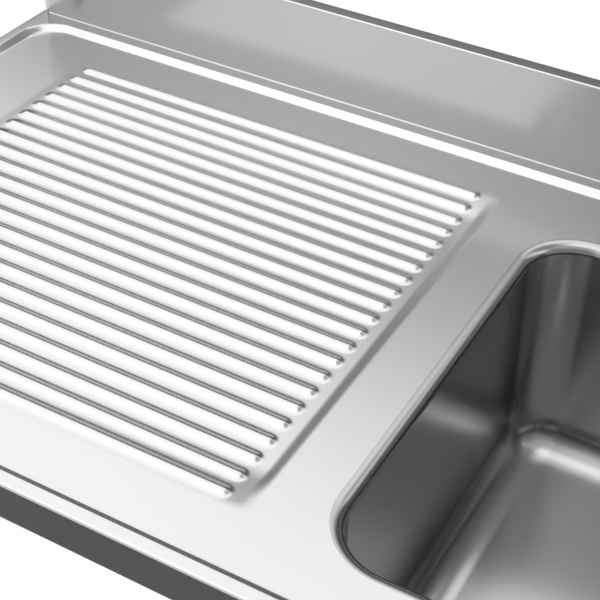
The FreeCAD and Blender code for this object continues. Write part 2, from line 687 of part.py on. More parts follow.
# ---------------------------------------------------------------- the bowl
def bowl_form(name, grow):
    """What the bowl's inside encloses, or its outside when it is grown by the sheet."""
    body = doc.addObject("PartDesign::Body", name)
    level = f"deck_z - {grow}"
    above = sketch_in(body, name + "Above", "XY_Plane", level)
    draw_rounded_rectangle(above, "rim_of_bowl + 8 * bowl_roll", "rim_of_bowl + 8 * bowl_roll",
                           "bowl_corner + bowl_roll")
    pad(body, above, "4 * gauge", name + "Slab")
    opening = sketch_in(body, name + "Opening", "XY_Plane", level)
    draw_rounded_rectangle(opening, f"bowl_opening + 2 * {grow}", f"bowl_opening + 2 * {grow}",
                           f"bowl_corner + {grow}")
    well = pad(body, opening, "bowl_depth", name + "Well", True, "0 - bowl_draft")
    rim, floor = number_of(level), number_of(f"{level} - bowl_depth")
    wide = number_of("bowl_opening + 4 * gauge")

    def floor_edge(edge):
        return level_at(edge, floor)

    def rim_edge(edge):
        inside = max(abs(v.X) for v in edge.Vertexes) < wide / 2
        return level_at(edge, rim) and inside and max(abs(v.Y) for v in edge.Vertexes) < wide / 2

    rounded = rounding(body, well, floor_edge, f"bowl_floor_radius + {grow}", name + "Floor")
    rounding(body, rounded, rim_edge, f"bowl_roll - {grow}", name + "Roll")
    seat = body.newObject("PartDesign::AdditiveCone", name + "Seat")
    bind(seat, Radius1="waste_seat / 2 - waste_seat_run", Radius2="waste_seat / 2 + waste_seat_run",
         Height="2 * waste_seat_drop")
    seat.setExpression("AttachmentOffset.Base.z", formula(f"seat_z - {grow}"))
    seat.AttachmentSupport = (plane_of(body, "XY_Plane"), "")
    seat.MapMode = "FlatFace"
    return bind(body, Base_x="bowl_x", Base_y="bowl_y")


bowl_air = fuse("BowlAir", bowl_form("BowlInside", "0"),
                cylinder("WasteHole", "waste_cutout", "bowl_depth / 2", "bowl_x", "bowl_y",
                         "seat_z - bowl_depth / 4"))
bowl_shell = cut("BowlShell", bowl_form("BowlOutside", "gauge"), bowl_air)
bowl_limit = add("Part::Extrusion", "BowlLimit", LengthFwd="bowl_depth + 8 * gauge")
bowl_limit.Base = outline("BowlLimitPlan", "rim_of_bowl", "rim_of_bowl", "bowl_corner + bowl_roll",
                          "bowl_x", "bowl_y", "deck_z")
bowl_limit.DirMode = "Custom"
bowl_limit.Dir = Vector(0, 0, -1)
bowl_limit.Solid = True
common("bowl", bowl_shell, bowl_limit)


# ---------------------------------------------------------------- the frame under the deck
def rail(name, length, mid_x, mid_y, across):
    """A lipped channel, open below, with its web against the deck."""
    body = doc.addObject("PartDesign::Body", name)
    sketch = sketch_in(body, name + "Section", "YZ_Plane", f"0 - ({length}) / 2")
    half, lip, wall = "rail_width / 2", "rail_lip", "rail_gauge"
    base = "plate_thickness"
    draw_profile(sketch, (
        (f"0 - {half}", "under_z"),
        (f"0 - {half}", base),
        (f"{lip} - {half}", base),
        (f"{lip} - {half}", f"{base} + {wall}"),
        (f"{wall} - {half}", f"{base} + {wall}"),
        (f"{wall} - {half}", f"under_z - {wall}"),
        (f"{half} - {wall}", f"under_z - {wall}"),
        (f"{half} - {wall}", f"{base} + {wall}"),
        (f"{half} - {lip}", f"{base} + {wall}"),
        (f"{half} - {lip}", base),
        (half, base),
        (half, "under_z"),
    ))
    pad(body, sketch, length, name + "Channel")
    body.Placement = Placement(Vector(), Rotation(Vector(0, 0, 1), 90 if across else 0))
    bind(body, Base_x=mid_x, Base_y=mid_y)
    return body


def stud_places():
    """Where studs hold the rails to the deck: four along each long rail, one on each cross rail."""
    for side in ("rail_y", "0 - rail_y"):
        for step in (-1.5, -0.5, 0.5, 1.5):
            yield f"{step} * stud_spacing", side
    for middle in ("cross_left - end_x", "cross_middle_x", "end_x - cross_right"):
        yield middle, "0"


STUDS = tuple(stud_places())
holes = fuse("StudHoles", *(
    cylinder(f"StudHole{index}", "stud_size + 2 * stud_gap", "4 * rail_gauge", x, y,
             "under_z - 2 * rail_gauge")
    for index, (x, y) in enumerate(STUDS)
))
LONG = "overall_length - 2 * (gauge + rail_end_gap)"
SHORT = "2 * rail_y - rail_width"
cut("front_rail", rail("FrontChannel", LONG, "0", "0 - rail_y", False), holes)
cut("rear_rail", rail("RearChannel", LONG, "0", "rail_y", False), holes)
cut("cross_rail_left", rail("LeftChannel", SHORT, "cross_left - end_x", "0", True), holes)
cut("cross_rail_middle", rail("MiddleChannel", SHORT, "cross_middle_x", "0", True), holes)
cut("cross_rail_right", rail("RightChannel", SHORT, "end_x - cross_right", "0", True), holes)

group("weld_studs", *(
    cylinder(f"Stud{index}", "stud_size", "stud_length", x, y, "under_z - stud_length")
    for index, (x, y) in enumerate(STUDS)
))


def nut(name, mid_x, mid_y):
    """A hexagon nut under the rail's web, clear of the stud's thread by the fit."""
    prism = add("Part::Prism", name + "Hexagon", Circumradius="nut_flats / 2 / cos(30)",
                Height="nut_height", Base_x=mid_x, Base_y=mid_y,
                Base_z="under_z - rail_gauge - nut_height")
    prism.Polygon = 6
    bore = cylinder(name + "Bore", "stud_size + 2 * fit", "2 * nut_height", mid_x, mid_y,
                    "under_z - rail_gauge - 1.5 * nut_height")
    return cut(name, prism, bore)


group("stud_nuts", *(nut(f"Nut{index}", x, y) for index, (x, y) in enumerate(STUDS)))


def fixing_plate(name, side_x, side_y):
    """A plate across the rail's lips, with the hole that takes the base's screw."""
    mid_x, mid_y = f"{side_x} * (end_x - plate_inset)", f"{side_y} * rail_y"
    blank = box(name + "Blank", "plate_length", "plate_width", "plate_thickness",
                f"{mid_x} - plate_length / 2", f"{mid_y} - plate_width / 2", "0")
    hole = cylinder(name + "Hole", "fixing_hole", "3 * plate_thickness", mid_x, mid_y,
                    "0 - plate_thickness")
    return cut(name, blank, hole)


for end_name, side_x in (("left", -1), ("right", 1)):
    for edge_name, side_y in (("front", -1), ("rear", 1)):
        fixing_plate(f"fixing_plate_{edge_name}_{end_name}", side_x, side_y)


# ---------------------------------------------------------------- stiffeners and damping pads
def under_field(thing, along, top):
    """Lays a piece against the falling underside of the drainer."""
    tilt = Placement(
        Vector(value("pivot_x"), value("tray_y"), value("deck_z")),
        Rotation(Vector(0, 1, 0), value("tray_fall")),
    )
    thing.Placement = tilt.multiply(Placement(Vector(number_of(along), 0, number_of(top)), Rotation()))
    return thing


FIELD_MIDDLE = "tray_length / 2 - tray_pivot"


def stiffener(name, side):
    """A hat section glued under the drainer, front to back."""
    body = doc.addObject("PartDesign::Body", name)
    sketch = sketch_in(body, name + "Section", "XZ_Plane", "0 - stiffener_length / 2")
    wide, crown, wall = "stiffener_width / 2", "stiffener_crown / 2", "gauge"
    deep = "stiffener_height"
    draw_profile(sketch, (
        (f"0 - {wide}", "0"),
        (f"0 - {wide}", f"0 - {wall}"),
        (f"0 - {crown}", f"0 - {wall}"),
        (f"0 - {crown}", f"0 - {deep}"),
        (crown, f"0 - {deep}"),
        (crown, f"0 - {wall}"),
        (wide, f"0 - {wall}"),
        (wide, "0"),
        (f"{crown} - {wall}", "0"),
        (f"{crown} - {wall}", f"{wall} - {deep}"),
        (f"{wall} - {crown}", f"{wall} - {deep}"),
        (f"{wall} - {crown}", "0"),
    ))
    pad(body, sketch, "stiffener_length", name + "Hat")
    return under_field(body, f"{FIELD_MIDDLE} + {side} * stiffener_spacing / 2", "0 - gauge")


stiffener("drainer_stiffener_left", -1)
stiffener("drainer_stiffener_right", 1)


def round_cornered_pad(name, length, depth):
    """A cut damping sheet, lying in its own XY plane and growing downwards."""
    body = doc.addObject("PartDesign::Body", name)
    sketch = sketch_in(body, name + "Plan", "XY_Plane")
    draw_rounded_rectangle(sketch, length, depth, "4 * pad_thickness")
    pad(body, sketch, "pad_thickness", name + "Sheet", reversed_way=True)
    return body


under_field(round_cornered_pad("drainer_damping_pad", "tray_pad_length", "tray_pad_depth"),
            FIELD_MIDDLE, "0 - gauge")


def wall_pad(name, turn):
    """A damping pad on the outside of one leaning wall of the bowl."""
    pad_body = round_cornered_pad(name, "bowl_pad_length", "bowl_pad_height")
    draft = value("bowl_draft")
    hinge = number_of("bowl_opening / 2 + gauge")
    down = number_of("bowl_pad_top - gauge + bowl_pad_height / 2") / math.cos(math.radians(draft))
    wall_frame = Placement(Vector(value("bowl_x"), value("bowl_y"), value("under_z")),
                           Rotation(Vector(0, 0, 1), turn))
    leaning = Placement(Vector(0, -hinge, 0), Rotation(Vector(1, 0, 0), 90 + draft))
    pad_body.Placement = wall_frame.multiply(leaning).multiply(
        Placement(Vector(0, -down, 0), Rotation(Vector(1, 0, 0), 180)))
    return pad_body


wall_pad("bowl_damping_pad_front", 0)
wall_pad("bowl_damping_pad_right", 90)
wall_pad("bowl_damping_pad_rear", 180)
wall_pad("bowl_damping_pad_left", 270)
cut("bowl_damping_pad_floor",
    cylinder("FloorPadDisc", "floor_pad", "pad_thickness", "bowl_x", "bowl_y",
             "bowl_floor_z - gauge - pad_thickness"),
    cylinder("FloorPadHole", "waste_seat + 4 * waste_seat_run", "3 * pad_thickness", "bowl_x",
             "bowl_y", "bowl_floor_z - gauge - 2 * pad_thickness"))


# ---------------------------------------------------------------- the basket waste
def turned(name, points):
    """A turned or pressed round piece on the waste's axis; points are (radius, level)."""
    body = doc.addObject("PartDesign::Body", name + "Form")
    sketch = sketch_in(body, name + "Half", "XZ_Plane")
    draw_profile(sketch, points)
    spun = body.newObject("PartDesign::Revolution", name + "Spun")
    spun.Profile = sketch
    spun.ReferenceAxis = (sketch, ["V_Axis"])
    spun.Angle = 360
    bind(body, Base_x="bowl_x", Base_y="bowl_y")
    doc.recompute()
    return body


def ring(name, outer, inner, low, height):
    return cut(name, cylinder(name + "Disc", outer, height, "bowl_x", "bowl_y", low),
               cylinder(name + "Bore", inner, f"3 * ({height})", "bowl_x", "bowl_y",
                        f"{low} - ({height})"))


def circle_of(name, count, make):
    """Like cutters spread evenly round the waste's axis."""
    cutters = []
    for index in range(int(value(count))):
        cutters.append(make(f"{name}{index}", f"({index} * 360 / {count})"))
    return fuse(name + "Circle", *cutters)


ring("flange_seal", "flange_size - 2 * seal_inset", "waste_cutout + 2 * fit", "seat_z", "seal_thickness")
ring("bowl_gasket", "body_size", "body_bore", "seat_z - gauge - gasket_thickness",
     "gasket_thickness")

cup = turned("Cup", (
    ("flange_size / 2", "flange_z"),
    ("flange_size / 2", "flange_z + gauge"),
    ("cup_bore / 2", "flange_z + gauge"),
    ("cup_bore / 2", "shoulder_z"),
    ("cup_throat / 2", "throat_z"),
    ("cup_throat / 2", "cup_floor_z + gauge"),
    ("screw_size / 2 + fit", "cup_floor_z + gauge"),
    ("screw_size / 2 + fit", "cup_floor_z"),
    ("cup_throat / 2 + gauge", "cup_floor_z"),
    ("cup_throat / 2 + gauge", "throat_z - gauge / 2"),
    ("cup_bore / 2 + gauge", "shoulder_z - gauge / 2"),
    ("cup_bore / 2 + gauge", "flange_z"),
))


def drain_cutter(name, turn):
    return cylinder(name, "drain_hole", "4 * gauge", f"bowl_x + drain_circle / 2 * cos({turn})",
                    f"bowl_y + drain_circle / 2 * sin({turn})", "cup_floor_z - gauge")


cut("waste_flange", cup, circle_of("Drain", "drain_count", drain_cutter))

waste_shell = turned("Shell", (
    ("body_size / 2", "collar_z"),
    ("body_bore / 2", "collar_z"),
    ("body_bore / 2", "funnel_z"),
    ("body_bore / 2 + body_wall", "funnel_z"),
    ("body_bore / 2 + body_wall", "collar_z - body_wall"),
    ("body_size / 2", "collar_z - body_wall"),
))
group("outlet_funnel", turned("Funnel", (
    ("body_bore / 2 + body_wall", "funnel_z"),
    ("body_bore / 2", "funnel_z"),
    ("outlet_bore / 2", "outlet_z"),
    ("outlet_bore / 2", "outlet_z - outlet_length"),
    ("outlet_size / 2", "outlet_z - outlet_length"),
    ("outlet_size / 2", "outlet_z - body_wall"),
    ("body_bore / 2 + body_wall", "funnel_z - body_wall"),
)))
hub = cylinder("Hub", "hub_size", "hub_depth", "bowl_x", "bowl_y", "cup_floor_z - hub_depth")


def arm(name, along_x):
    """A bar across the waste body that carries the hub."""
    length, width = ("body_bore + body_wall", "arm_width")
    if not along_x:
        length, width = width, length
    return box(name, length, width, "cup_floor_z - fit - funnel_z", f"bowl_x - ({length}) / 2",
               f"bowl_y - ({width}) / 2", "funnel_z")


cut("waste_body", fuse("BodyAndHub", waste_shell, hub, arm("ArmX", True), arm("ArmY", False)),
    cylinder("HubBore", "screw_size + 2 * fit", "2 * hub_depth", "bowl_x", "bowl_y",
             "cup_floor_z - 1.5 * hub_depth"))

fuse("clamp_screw",
     cylinder("ScrewShank", "screw_size", "gauge + screw_reach + fit", "bowl_x", "bowl_y",
              "cup_floor_z - screw_reach"),
     cylinder("ScrewHead", "screw_head", "screw_size / 2", "bowl_x", "bowl_y",
              "cup_floor_z + gauge"))

RIM_Z = "(shoulder_z + basket_rim)"
CONE_Z = "(shoulder_z + basket_clearance * 0.6)"
WIDE = "(cup_bore / 2 - basket_clearance)"
SLIM = "(cup_throat / 2 - 2 * basket_clearance)"
CONE_FOOT_Z = f"({CONE_Z} - {WIDE} + {SLIM})"
basket_cup = turned("Basket", (
    (WIDE, RIM_Z),
    (f"{WIDE} - basket_gauge", RIM_Z),
    (f"{WIDE} - basket_gauge", f"{CONE_Z} + basket_gauge / 2"),
    (f"{SLIM} - basket_gauge", f"{CONE_FOOT_Z} + basket_gauge / 2"),
    (f"{SLIM} - basket_gauge", "basket_floor_z + basket_gauge"),
    ("knob_stem / 2 + fit", "basket_floor_z + basket_gauge"),
    ("knob_stem / 2 + fit", "basket_floor_z"),
    (SLIM, "basket_floor_z"),
    (SLIM, CONE_FOOT_Z),
    (WIDE, CONE_Z),
))


def slot_cutter(name, turn):
    """A slot through the basket's wall, just above its floor."""
    slot = add("Part::Box", name, Length="cup_throat / 2", Width="slot_width", Height="slot_height")
    angle = number_of(turn)
    out = Rotation(Vector(0, 0, 1), angle)
    start = Vector(number_of("cup_throat / 4"), -number_of("slot_width / 2"),
                   number_of("basket_floor_z + 2 * basket_gauge"))
    axis = Vector(value("bowl_x"), value("bowl_y"), 0)
    slot.Placement = Placement(axis, out).multiply(Placement(start, Rotation()))
    return slot


cut("strainer_basket", basket_cup, circle_of("Slot", "slot_count", slot_cutter))
ring("basket_plug", "cup_throat - 2 * fit", "knob_stem + 2 * fit", "basket_floor_z - plug_thickness",
     "plug_thickness")
fuse("basket_knob",
     cylinder("KnobStem", "knob_stem", "knob_rise + plug_thickness", "bowl_x", "bowl_y",
              "basket_floor_z - plug_thickness"),
     cylinder("KnobHead", "knob_size", "knob_height", "bowl_x", "bowl_y",
              "basket_floor_z + knob_rise - knob_height"))

# ---------------------------------------------------------------- check and write
NODES = (
    "sink_top", "bowl", "upstand_end_cap_left", "upstand_end_cap_right",
    "front_rail", "rear_rail", "cross_rail_left", "cross_rail_middle", "cross_rail_right",
    "fixing_plate_front_left", "fixing_plate_rear_left",
    "fixing_plate_front_right", "fixing_plate_rear_right", "weld_studs", "stud_nuts",
    "drainer_stiffener_left", "drainer_stiffener_right", "drainer_damping_pad",
    "bowl_damping_pad_front", "bowl_damping_pad_right", "bowl_damping_pad_rear",
    "bowl_damping_pad_left", "bowl_damping_pad_floor",
    "flange_seal", "bowl_gasket", "waste_flange", "waste_body", "outlet_funnel", "clamp_screw",
    "strainer_basket", "basket_plug", "basket_knob",
)
doc.recompute()
for thing in doc.Objects:
    if "Invalid" in thing.State or "Error" in thing.State:
        raise RuntimeError(f"{thing.Name} failed: {thing.getStatusString()}")

os.makedirs("parts", exist_ok=True)
for name in NODES:
    piece = doc.getObject(name)
    piece.Label = name
    shape = piece.Shape
    if shape.isNull() or not shape.isValid() or not shape.Solids:
        raise RuntimeError(f"{name} has no valid solid")
    shape.exportStep(f"parts/{name}.step")
    print(f"{name}: {len(shape.Solids)} solid(s), {shape.Volume:.1f} mm3, {len(shape.Faces)} faces")
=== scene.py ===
# %% [markdown]
# # A kitchen sink top with a ribbed drainer
#
# The object is a pressed stainless steel top that sits on a stand or a cabinet. It has a falling
# drainer with 22 ribs on the left, a deep square bowl on the right and an upstand along the back.
# The CAD model gives every part its size and place. This script gives the parts the fine shapes
# and the finishes that the eye sees, and it changes no overall size.

# %% Load the CAD model as a fixed frame
import math

import bmesh
import bpy
from mathutils import Matrix, Vector


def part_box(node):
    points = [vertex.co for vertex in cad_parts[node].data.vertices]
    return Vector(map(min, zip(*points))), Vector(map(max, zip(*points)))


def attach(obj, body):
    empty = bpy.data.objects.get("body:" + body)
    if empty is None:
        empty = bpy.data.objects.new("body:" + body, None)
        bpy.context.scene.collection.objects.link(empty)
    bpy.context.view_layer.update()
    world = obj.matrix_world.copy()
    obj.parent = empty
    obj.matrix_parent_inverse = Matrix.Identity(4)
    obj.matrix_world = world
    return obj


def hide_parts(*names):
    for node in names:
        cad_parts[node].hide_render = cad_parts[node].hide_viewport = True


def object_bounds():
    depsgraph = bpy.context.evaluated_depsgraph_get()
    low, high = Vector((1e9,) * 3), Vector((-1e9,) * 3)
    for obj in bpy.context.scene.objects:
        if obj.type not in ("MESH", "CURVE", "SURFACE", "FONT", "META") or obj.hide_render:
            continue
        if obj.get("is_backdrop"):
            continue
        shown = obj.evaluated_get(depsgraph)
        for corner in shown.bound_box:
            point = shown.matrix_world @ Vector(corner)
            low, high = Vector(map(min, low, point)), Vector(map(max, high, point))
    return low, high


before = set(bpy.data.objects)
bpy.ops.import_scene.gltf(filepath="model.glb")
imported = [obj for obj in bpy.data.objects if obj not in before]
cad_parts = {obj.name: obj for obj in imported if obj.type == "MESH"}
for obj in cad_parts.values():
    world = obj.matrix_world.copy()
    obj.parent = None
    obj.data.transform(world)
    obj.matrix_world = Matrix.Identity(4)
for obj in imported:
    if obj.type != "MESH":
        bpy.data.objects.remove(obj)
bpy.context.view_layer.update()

# %% [markdown]
# ## Sizes
#
# Lengths are in metres. What the CAD model can tell is read from the boxes of its nodes, so the
# script follows when a size changes there. The rest, such as the radius of a fold, is named once,
# where it is first needed. It has the value of the CAD source, apart from three widths that follow
# the photograph's lines of light more closely: the step's, the ribs' and the drainer's border's.

# %% Sizes read from the frame
MM = 0.001
GAUGE = 1.2 * MM
top_low, top_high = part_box("sink_top")
bowl_low, bowl_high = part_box("bowl")
END_X, FOLD_Y, BACK_Y = top_high.x, -top_low.y, top_high.y
UPSTAND_TOP = top_high.z
APRON_HEIGHT = 40 * MM
RIM_Z = top_low.z + APRON_HEIGHT
DECK_Z = bowl_high.z
BOWL_MIDDLE = Vector(((bowl_low.x + bowl_high.x) / 2, (bowl_low.y + bowl_high.y) / 2, 0))
BOWL_RIM = bowl_high.x - bowl_low.x
print("deck at", round(DECK_Z, 4), "rim at", round(RIM_Z, 4), "bowl rim", round(BOWL_RIM, 4))

# %% [markdown]
# ## Working with a bmesh
#
# A bmesh is Blender's workbench for a mesh. Every piece below starts from one simple shape there
# and is worked with operators. When it is ready it becomes an object, rides on its CAD body and
# stands for its CAD node. Edges sharper than a set angle stay crisp and all others are shaded
# round. The Weighted Normal modifier then lets the large flat faces set the shading, as on sheet
# metal, so a fold stays a narrow line of light and doesn't cloud the flat beside it.

# %% From the workbench to a finished piece
CRISP = math.radians(42)


def finish_piece(bm, name, body, nodes, look):
    """Makes the worked mesh an object that rides on its body and stands for its nodes."""
    bm.normal_update()
    for edge in bm.edges:
        edge.smooth = len(edge.link_faces) == 2 and edge.calc_face_angle() < CRISP
    for face in bm.faces:
        face.smooth = True
    mesh = bpy.data.meshes.new(name)
    bm.to_mesh(mesh)
    bm.free()
    mesh.materials.append(look)
    piece = bpy.data.objects.new(name, mesh)
    bpy.context.scene.collection.objects.link(piece)
    shading = piece.modifiers.new("flats_lead", "WEIGHTED_NORMAL")
    shading.keep_sharp = True
    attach(piece, body)
    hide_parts(*nodes)
    triangles = sum(len(polygon.vertices) - 2 for polygon in mesh.polygons)
    print(name, "has", triangles, "triangles")
    return piece


# %% [markdown]
# ## Sums with shader sockets
#
# A finish is a small net of nodes. Written out node by node it is hard to read, so one class
# wraps a socket and gives it Python's operators: each sum on sockets adds one Math node. All other
# nodes come from one method, which takes the node's type, its settings and its sockets.

# %% A socket that takes part in sums
class Value:
    def __init__(self, net, socket):
        self.net, self.socket = net, socket

    def sum(self, operation, *others):
        return self.net.node("Math", {"operation": operation},
                             dict(enumerate((self, *others))))

    def __add__(self, other):
        return self.sum("ADD", other)

    __radd__ = __add__

    def __sub__(self, other):
        return self.sum("SUBTRACT", other)

    def __rsub__(self, other):
        return self.net.node("Math", {"operation": "SUBTRACT"}, {0: other, 1: self})

    def __mul__(self, other):
        return self.sum("MULTIPLY", other)

    __rmul__ = __mul__

    def between(self, low, high, from_value=0.0, to_value=1.0):
        """Goes smoothly from one value to the other as this one goes from low to high."""
        settings = {"interpolation_type": "SMOOTHSTEP"}
        given = {"Value": self, "From Min": low, "From Max": high,
                 "To Min": from_value, "To Max": to_value}
        return self.net.node("MapRange", settings, given)


class Net:
    """The nodes of one material or of the world."""

    def __init__(self, owner):
        owner.use_nodes = True
        self.tree = owner.node_tree
        self.tree.nodes.clear()

    def node(self, kind, settings=None, given=None, output=0):
        made = self.tree.nodes.new("ShaderNode" + kind)
        for name, setting in (settings or {}).items():
            setattr(made, name, setting)
        for name, value in (given or {}).items():
            if isinstance(value, Value):
                self.tree.links.new(value.socket, made.inputs[name])
            else:
                made.inputs[name].default_value = value
        return Value(self, made.outputs[output]) if made.outputs else made

    def mix(self, factor, first, second):
        """A colour between two others."""
        given = {0: factor, 6: first, 7: second}
        return self.node("Mix", {"data_type": "RGBA"}, given, output=2)


print("shader tools ready")

# %% [markdown]
# ## Satin steel
#
# The sheet is satin-ground stainless steel: a belt has drawn very fine lines along its length.
# They are far thinner than a pixel, so what shows of them is a soft reflection, faint streaks and
# a little unevenness in the gloss. Noise that is stretched along X gives the lines, for a small
# bump and for the roughness. A second, broad noise makes the gloss drift from place to place.


# %% A ground or drawn metal
def steel(name, colour, roughness, along, streak=0.03, drift=0.03, grain=0.02):
    """Metal with fine lines along one axis, given as how much each axis squeezes the noise."""
    look = bpy.data.materials.new(name)
    net = Net(look)
    place = net.node("TexCoord", output=3)
    squeezed = net.node("Mapping", {}, {"Vector": place, "Scale": along})
    lines = net.node("TexNoise", {}, {"Vector": squeezed, "Scale": 1.0, "Detail": 4.0,
                                      "Roughness": 0.65})
    cloud = net.node("TexNoise", {}, {"Vector": place, "Scale": 7.0, "Detail": 3.0})
    uneven = roughness + (lines - 0.5) * streak + (cloud - 0.5) * drift
    tone = (lines - 0.5) * 0.05 + (cloud - 0.5) * 0.04 + 0.5
    tint = net.mix(tone, tuple(0.94 * c for c in colour) + (1,),
                   tuple(1.06 * c for c in colour) + (1,))
    bump = net.node("Bump", {}, {"Height": lines, "Strength": grain, "Distance": 0.0005})
    shader = net.node("BsdfPrincipled", {}, {"Base Color": tint, "Metallic": 1.0,
                                             "Roughness": uneven, "Normal": bump})
    net.node("OutputMaterial", {}, {"Surface": shader})
    return look


SATIN = steel("satin_steel", (0.62, 0.62, 0.625), 0.23, (9, 700, 700), grain=0.004)
# The bowl is the same steel as the top, but its base colour is darker: painted shade that darkens
# the inside of the deep bowl.
BOWL_STEEL_PAINTED_SHADE = steel("bowl_steel_painted_shade", (0.46, 0.46, 0.465), 0.22, (60, 60, 500), grain=0.004)
print("finishes:", SATIN.name, BOWL_STEEL_PAINTED_SHADE.name)

# %% [markdown]
# ## The pressed top
#
# The top is one sheet, 1.2 mm thick. A real one starts as a flat blank. A press forms the step
# inside the rim, the falling drainer and its ribs, and a folding machine turns down the apron and
# turns up the back. The script goes the same way: a flat grid is the blank, each of its points is
# moved by one rule for the press and one for the folds, and the sheet gets its thickness last.
# A grid that is finer where the metal bends keeps the mesh light.


# %% The rules of the press
def ease(share, softness):
    """From 0 to 1 along a slope with rounded ends; softness is the rounded part at each end."""
    share = min(max(share, 0.0), 1.0)
    steepness = 1 / (1 - softness)
    if share < softness:
        return steepness * share * share / (2 * softness)
    if share > 1 - softness:
        return 1 - steepness * (1 - share) ** 2 / (2 * softness)
    return steepness * (share - softness / 2)


def inside(x, y, middle, half, corner):
    """How far a point lies inside a rectangle with rounded corners."""
    over_x = abs(x - middle[0]) - half[0] + corner
    over_y = abs(y - middle[1]) - half[1] + corner
    beyond = math.hypot(max(over_x, 0.0), max(over_y, 0.0))
    return corner - beyond - min(max(over_x, over_y), 0.0)


STEP_RUN, STEP_SOFT = 8.5 * MM, 0.15
RIM_FRONT, RIM_BACK = 12.1 * MM, 14.9 * MM
STEP_MIDDLE = (0.0, (RIM_FRONT - RIM_BACK) / 2)
STEP_HALF = (END_X - RIM_FRONT, FOLD_Y - (RIM_FRONT + RIM_BACK) / 2)
STEP_CORNER = 35 * MM + STEP_RUN


def step_level(x, y):
    """The rim, the slope inside it and the sunk deck."""
    way_down = inside(x, y, STEP_MIDDLE, STEP_HALF, STEP_CORNER) / STEP_RUN
    return RIM_Z + (DECK_Z - RIM_Z) * ease(way_down, STEP_SOFT)


print("step:", round(step_level(-END_X, 0), 4), "to", round(step_level(0, 0), 4))

# %% [markdown]
# The drainer is a plane that tilts towards the bowl. On the left it stands a little above the
# deck and on the right it lies almost 5 mm below it. A border slope joins the two on all sides,
# and towards the front and the back a longer ease softens it further. The ribs are wave crests
# with rounded ends: a rib's height depends only on the distance from its line.

# %% The drainer and its ribs
TRAY_LEFT, TRAY_BACK = 107.5 * MM - END_X, FOLD_Y - 65.5 * MM
TRAY_HALF = (257.5 * MM, 250 * MM)
TRAY_MIDDLE = (TRAY_LEFT + TRAY_HALF[0], TRAY_BACK - TRAY_HALF[1])
TRAY_CORNER = 18 * MM
TRAY_ANGLE, TRAY_PIVOT = math.radians(0.6), TRAY_LEFT + 66 * MM
BORDER_WIDTH, LONG_BORDER, BORDER_SOFT = 16 * MM, 60 * MM, 0.3
RIB_COUNT, RIB_PITCH, RIB_HEIGHT, RIB_HALF = 22, 22.2 * MM, 3 * MM, 8.7 * MM
RIB_SOFT, RIB_LENGTH = 0.35, 482 * MM
FIRST_RIB = TRAY_BACK - 15.4 * MM
RIB_START = TRAY_LEFT + 11.5 * MM + RIB_HALF
RIB_STOP = RIB_START + RIB_LENGTH - 2 * RIB_HALF


def drainer_offset(x, y):
    """How far the drainer lies above the deck."""
    rise = (TRAY_PIVOT - x) * math.tan(TRAY_ANGLE)
    way_in = inside(x, y, TRAY_MIDDLE, TRAY_HALF, TRAY_CORNER) / BORDER_WIDTH
    from_end = (TRAY_HALF[1] - abs(y - TRAY_MIDDLE[1])) / LONG_BORDER
    return rise * ease(way_in, BORDER_SOFT) * ease(from_end, BORDER_SOFT)


def rib_rise(x, y):
    """The rib's height over the drainer at this point."""
    nearest = min(max(round((FIRST_RIB - y) / RIB_PITCH), 0), RIB_COUNT - 1)
    past_end = max(RIB_START - x, x - RIB_STOP, 0.0)
    away = math.hypot(past_end, y - (FIRST_RIB - nearest * RIB_PITCH))
    return RIB_HEIGHT * (1 - ease(away / RIB_HALF, RIB_SOFT))


def pressed(x, y):
    """The finished level of a point of the blank."""
    return step_level(x, y) + drainer_offset(x, y) + rib_rise(x, y)


print("drainer falls to", round(pressed(TRAY_LEFT + 0.49, TRAY_MIDDLE[1] + RIB_PITCH / 2), 4))

# %% [markdown]
# A fold is a path for the sheet, written as stretches with a length and a curvature. A curvature
# of 0 is flat, and 1 divided by a radius is a bend. The apron turns down twice. The upstand turns
# up, then back twice. A blank point that lies so many millimetres past the start of a fold ends
# up where the path is after that length, which is how a real sheet folds.

# %% The rules of the folds
EDGE_RADIUS, FOLD_RADIUS, TOP_RADIUS = 3 * MM, 1.5 * MM, 1.8 * MM
QUARTER = math.pi / 2
UPSTAND_DEPTH, RETURN = BACK_Y - FOLD_Y, 15 * MM
APRON = (
    (QUARTER * EDGE_RADIUS, -1 / EDGE_RADIUS),
    (APRON_HEIGHT - 2 * EDGE_RADIUS, 0),
    (QUARTER * EDGE_RADIUS, -1 / EDGE_RADIUS),
    (7 * MM, 0),
)
UPSTAND = (
    (QUARTER * FOLD_RADIUS, 1 / FOLD_RADIUS),
    (UPSTAND_TOP - RIM_Z - FOLD_RADIUS - TOP_RADIUS, 0),
    (QUARTER * TOP_RADIUS, -1 / TOP_RADIUS),
    (UPSTAND_DEPTH - 2 * TOP_RADIUS, 0),
    (QUARTER * TOP_RADIUS, -1 / TOP_RADIUS),
    (RETURN - TOP_RADIUS, 0),
)


def folded(path, distance):
    """How far out and up a point comes to lie, this far along the sheet into a fold."""
    out = up = heading = 0.0
    for length, curvature in path:
        part = min(max(distance, 0.0), length)
        turn = heading + curvature * part
        if curvature:
            out += (math.sin(turn) - math.sin(heading)) / curvature
            up += (math.cos(heading) - math.cos(turn)) / curvature
        else:
            out += part * math.cos(heading)
            up += part * math.sin(heading)
        heading = turn
        distance -= length
    return out, up


def lines_to(start, *stretches):
    """Places of grid lines: each stretch goes on to its end in equal steps."""
    places = [start]
    for end, count in stretches:
        first = places[-1]
        places += [first + (end - first) * step / count for step in range(1, count + 1)]
    return places


def fold_lines(path, bend_steps):
    """The lines that a fold needs: several in each bend and one after each flat."""
    places = [0.0]
    for length, curvature in path:
        steps = bend_steps if curvature else 1
        places += lines_to(places[-1], (places[-1] + length, steps))[1:]
    return places


print("apron path ends at", [round(x, 4) for x in folded(APRON, 1.0)])

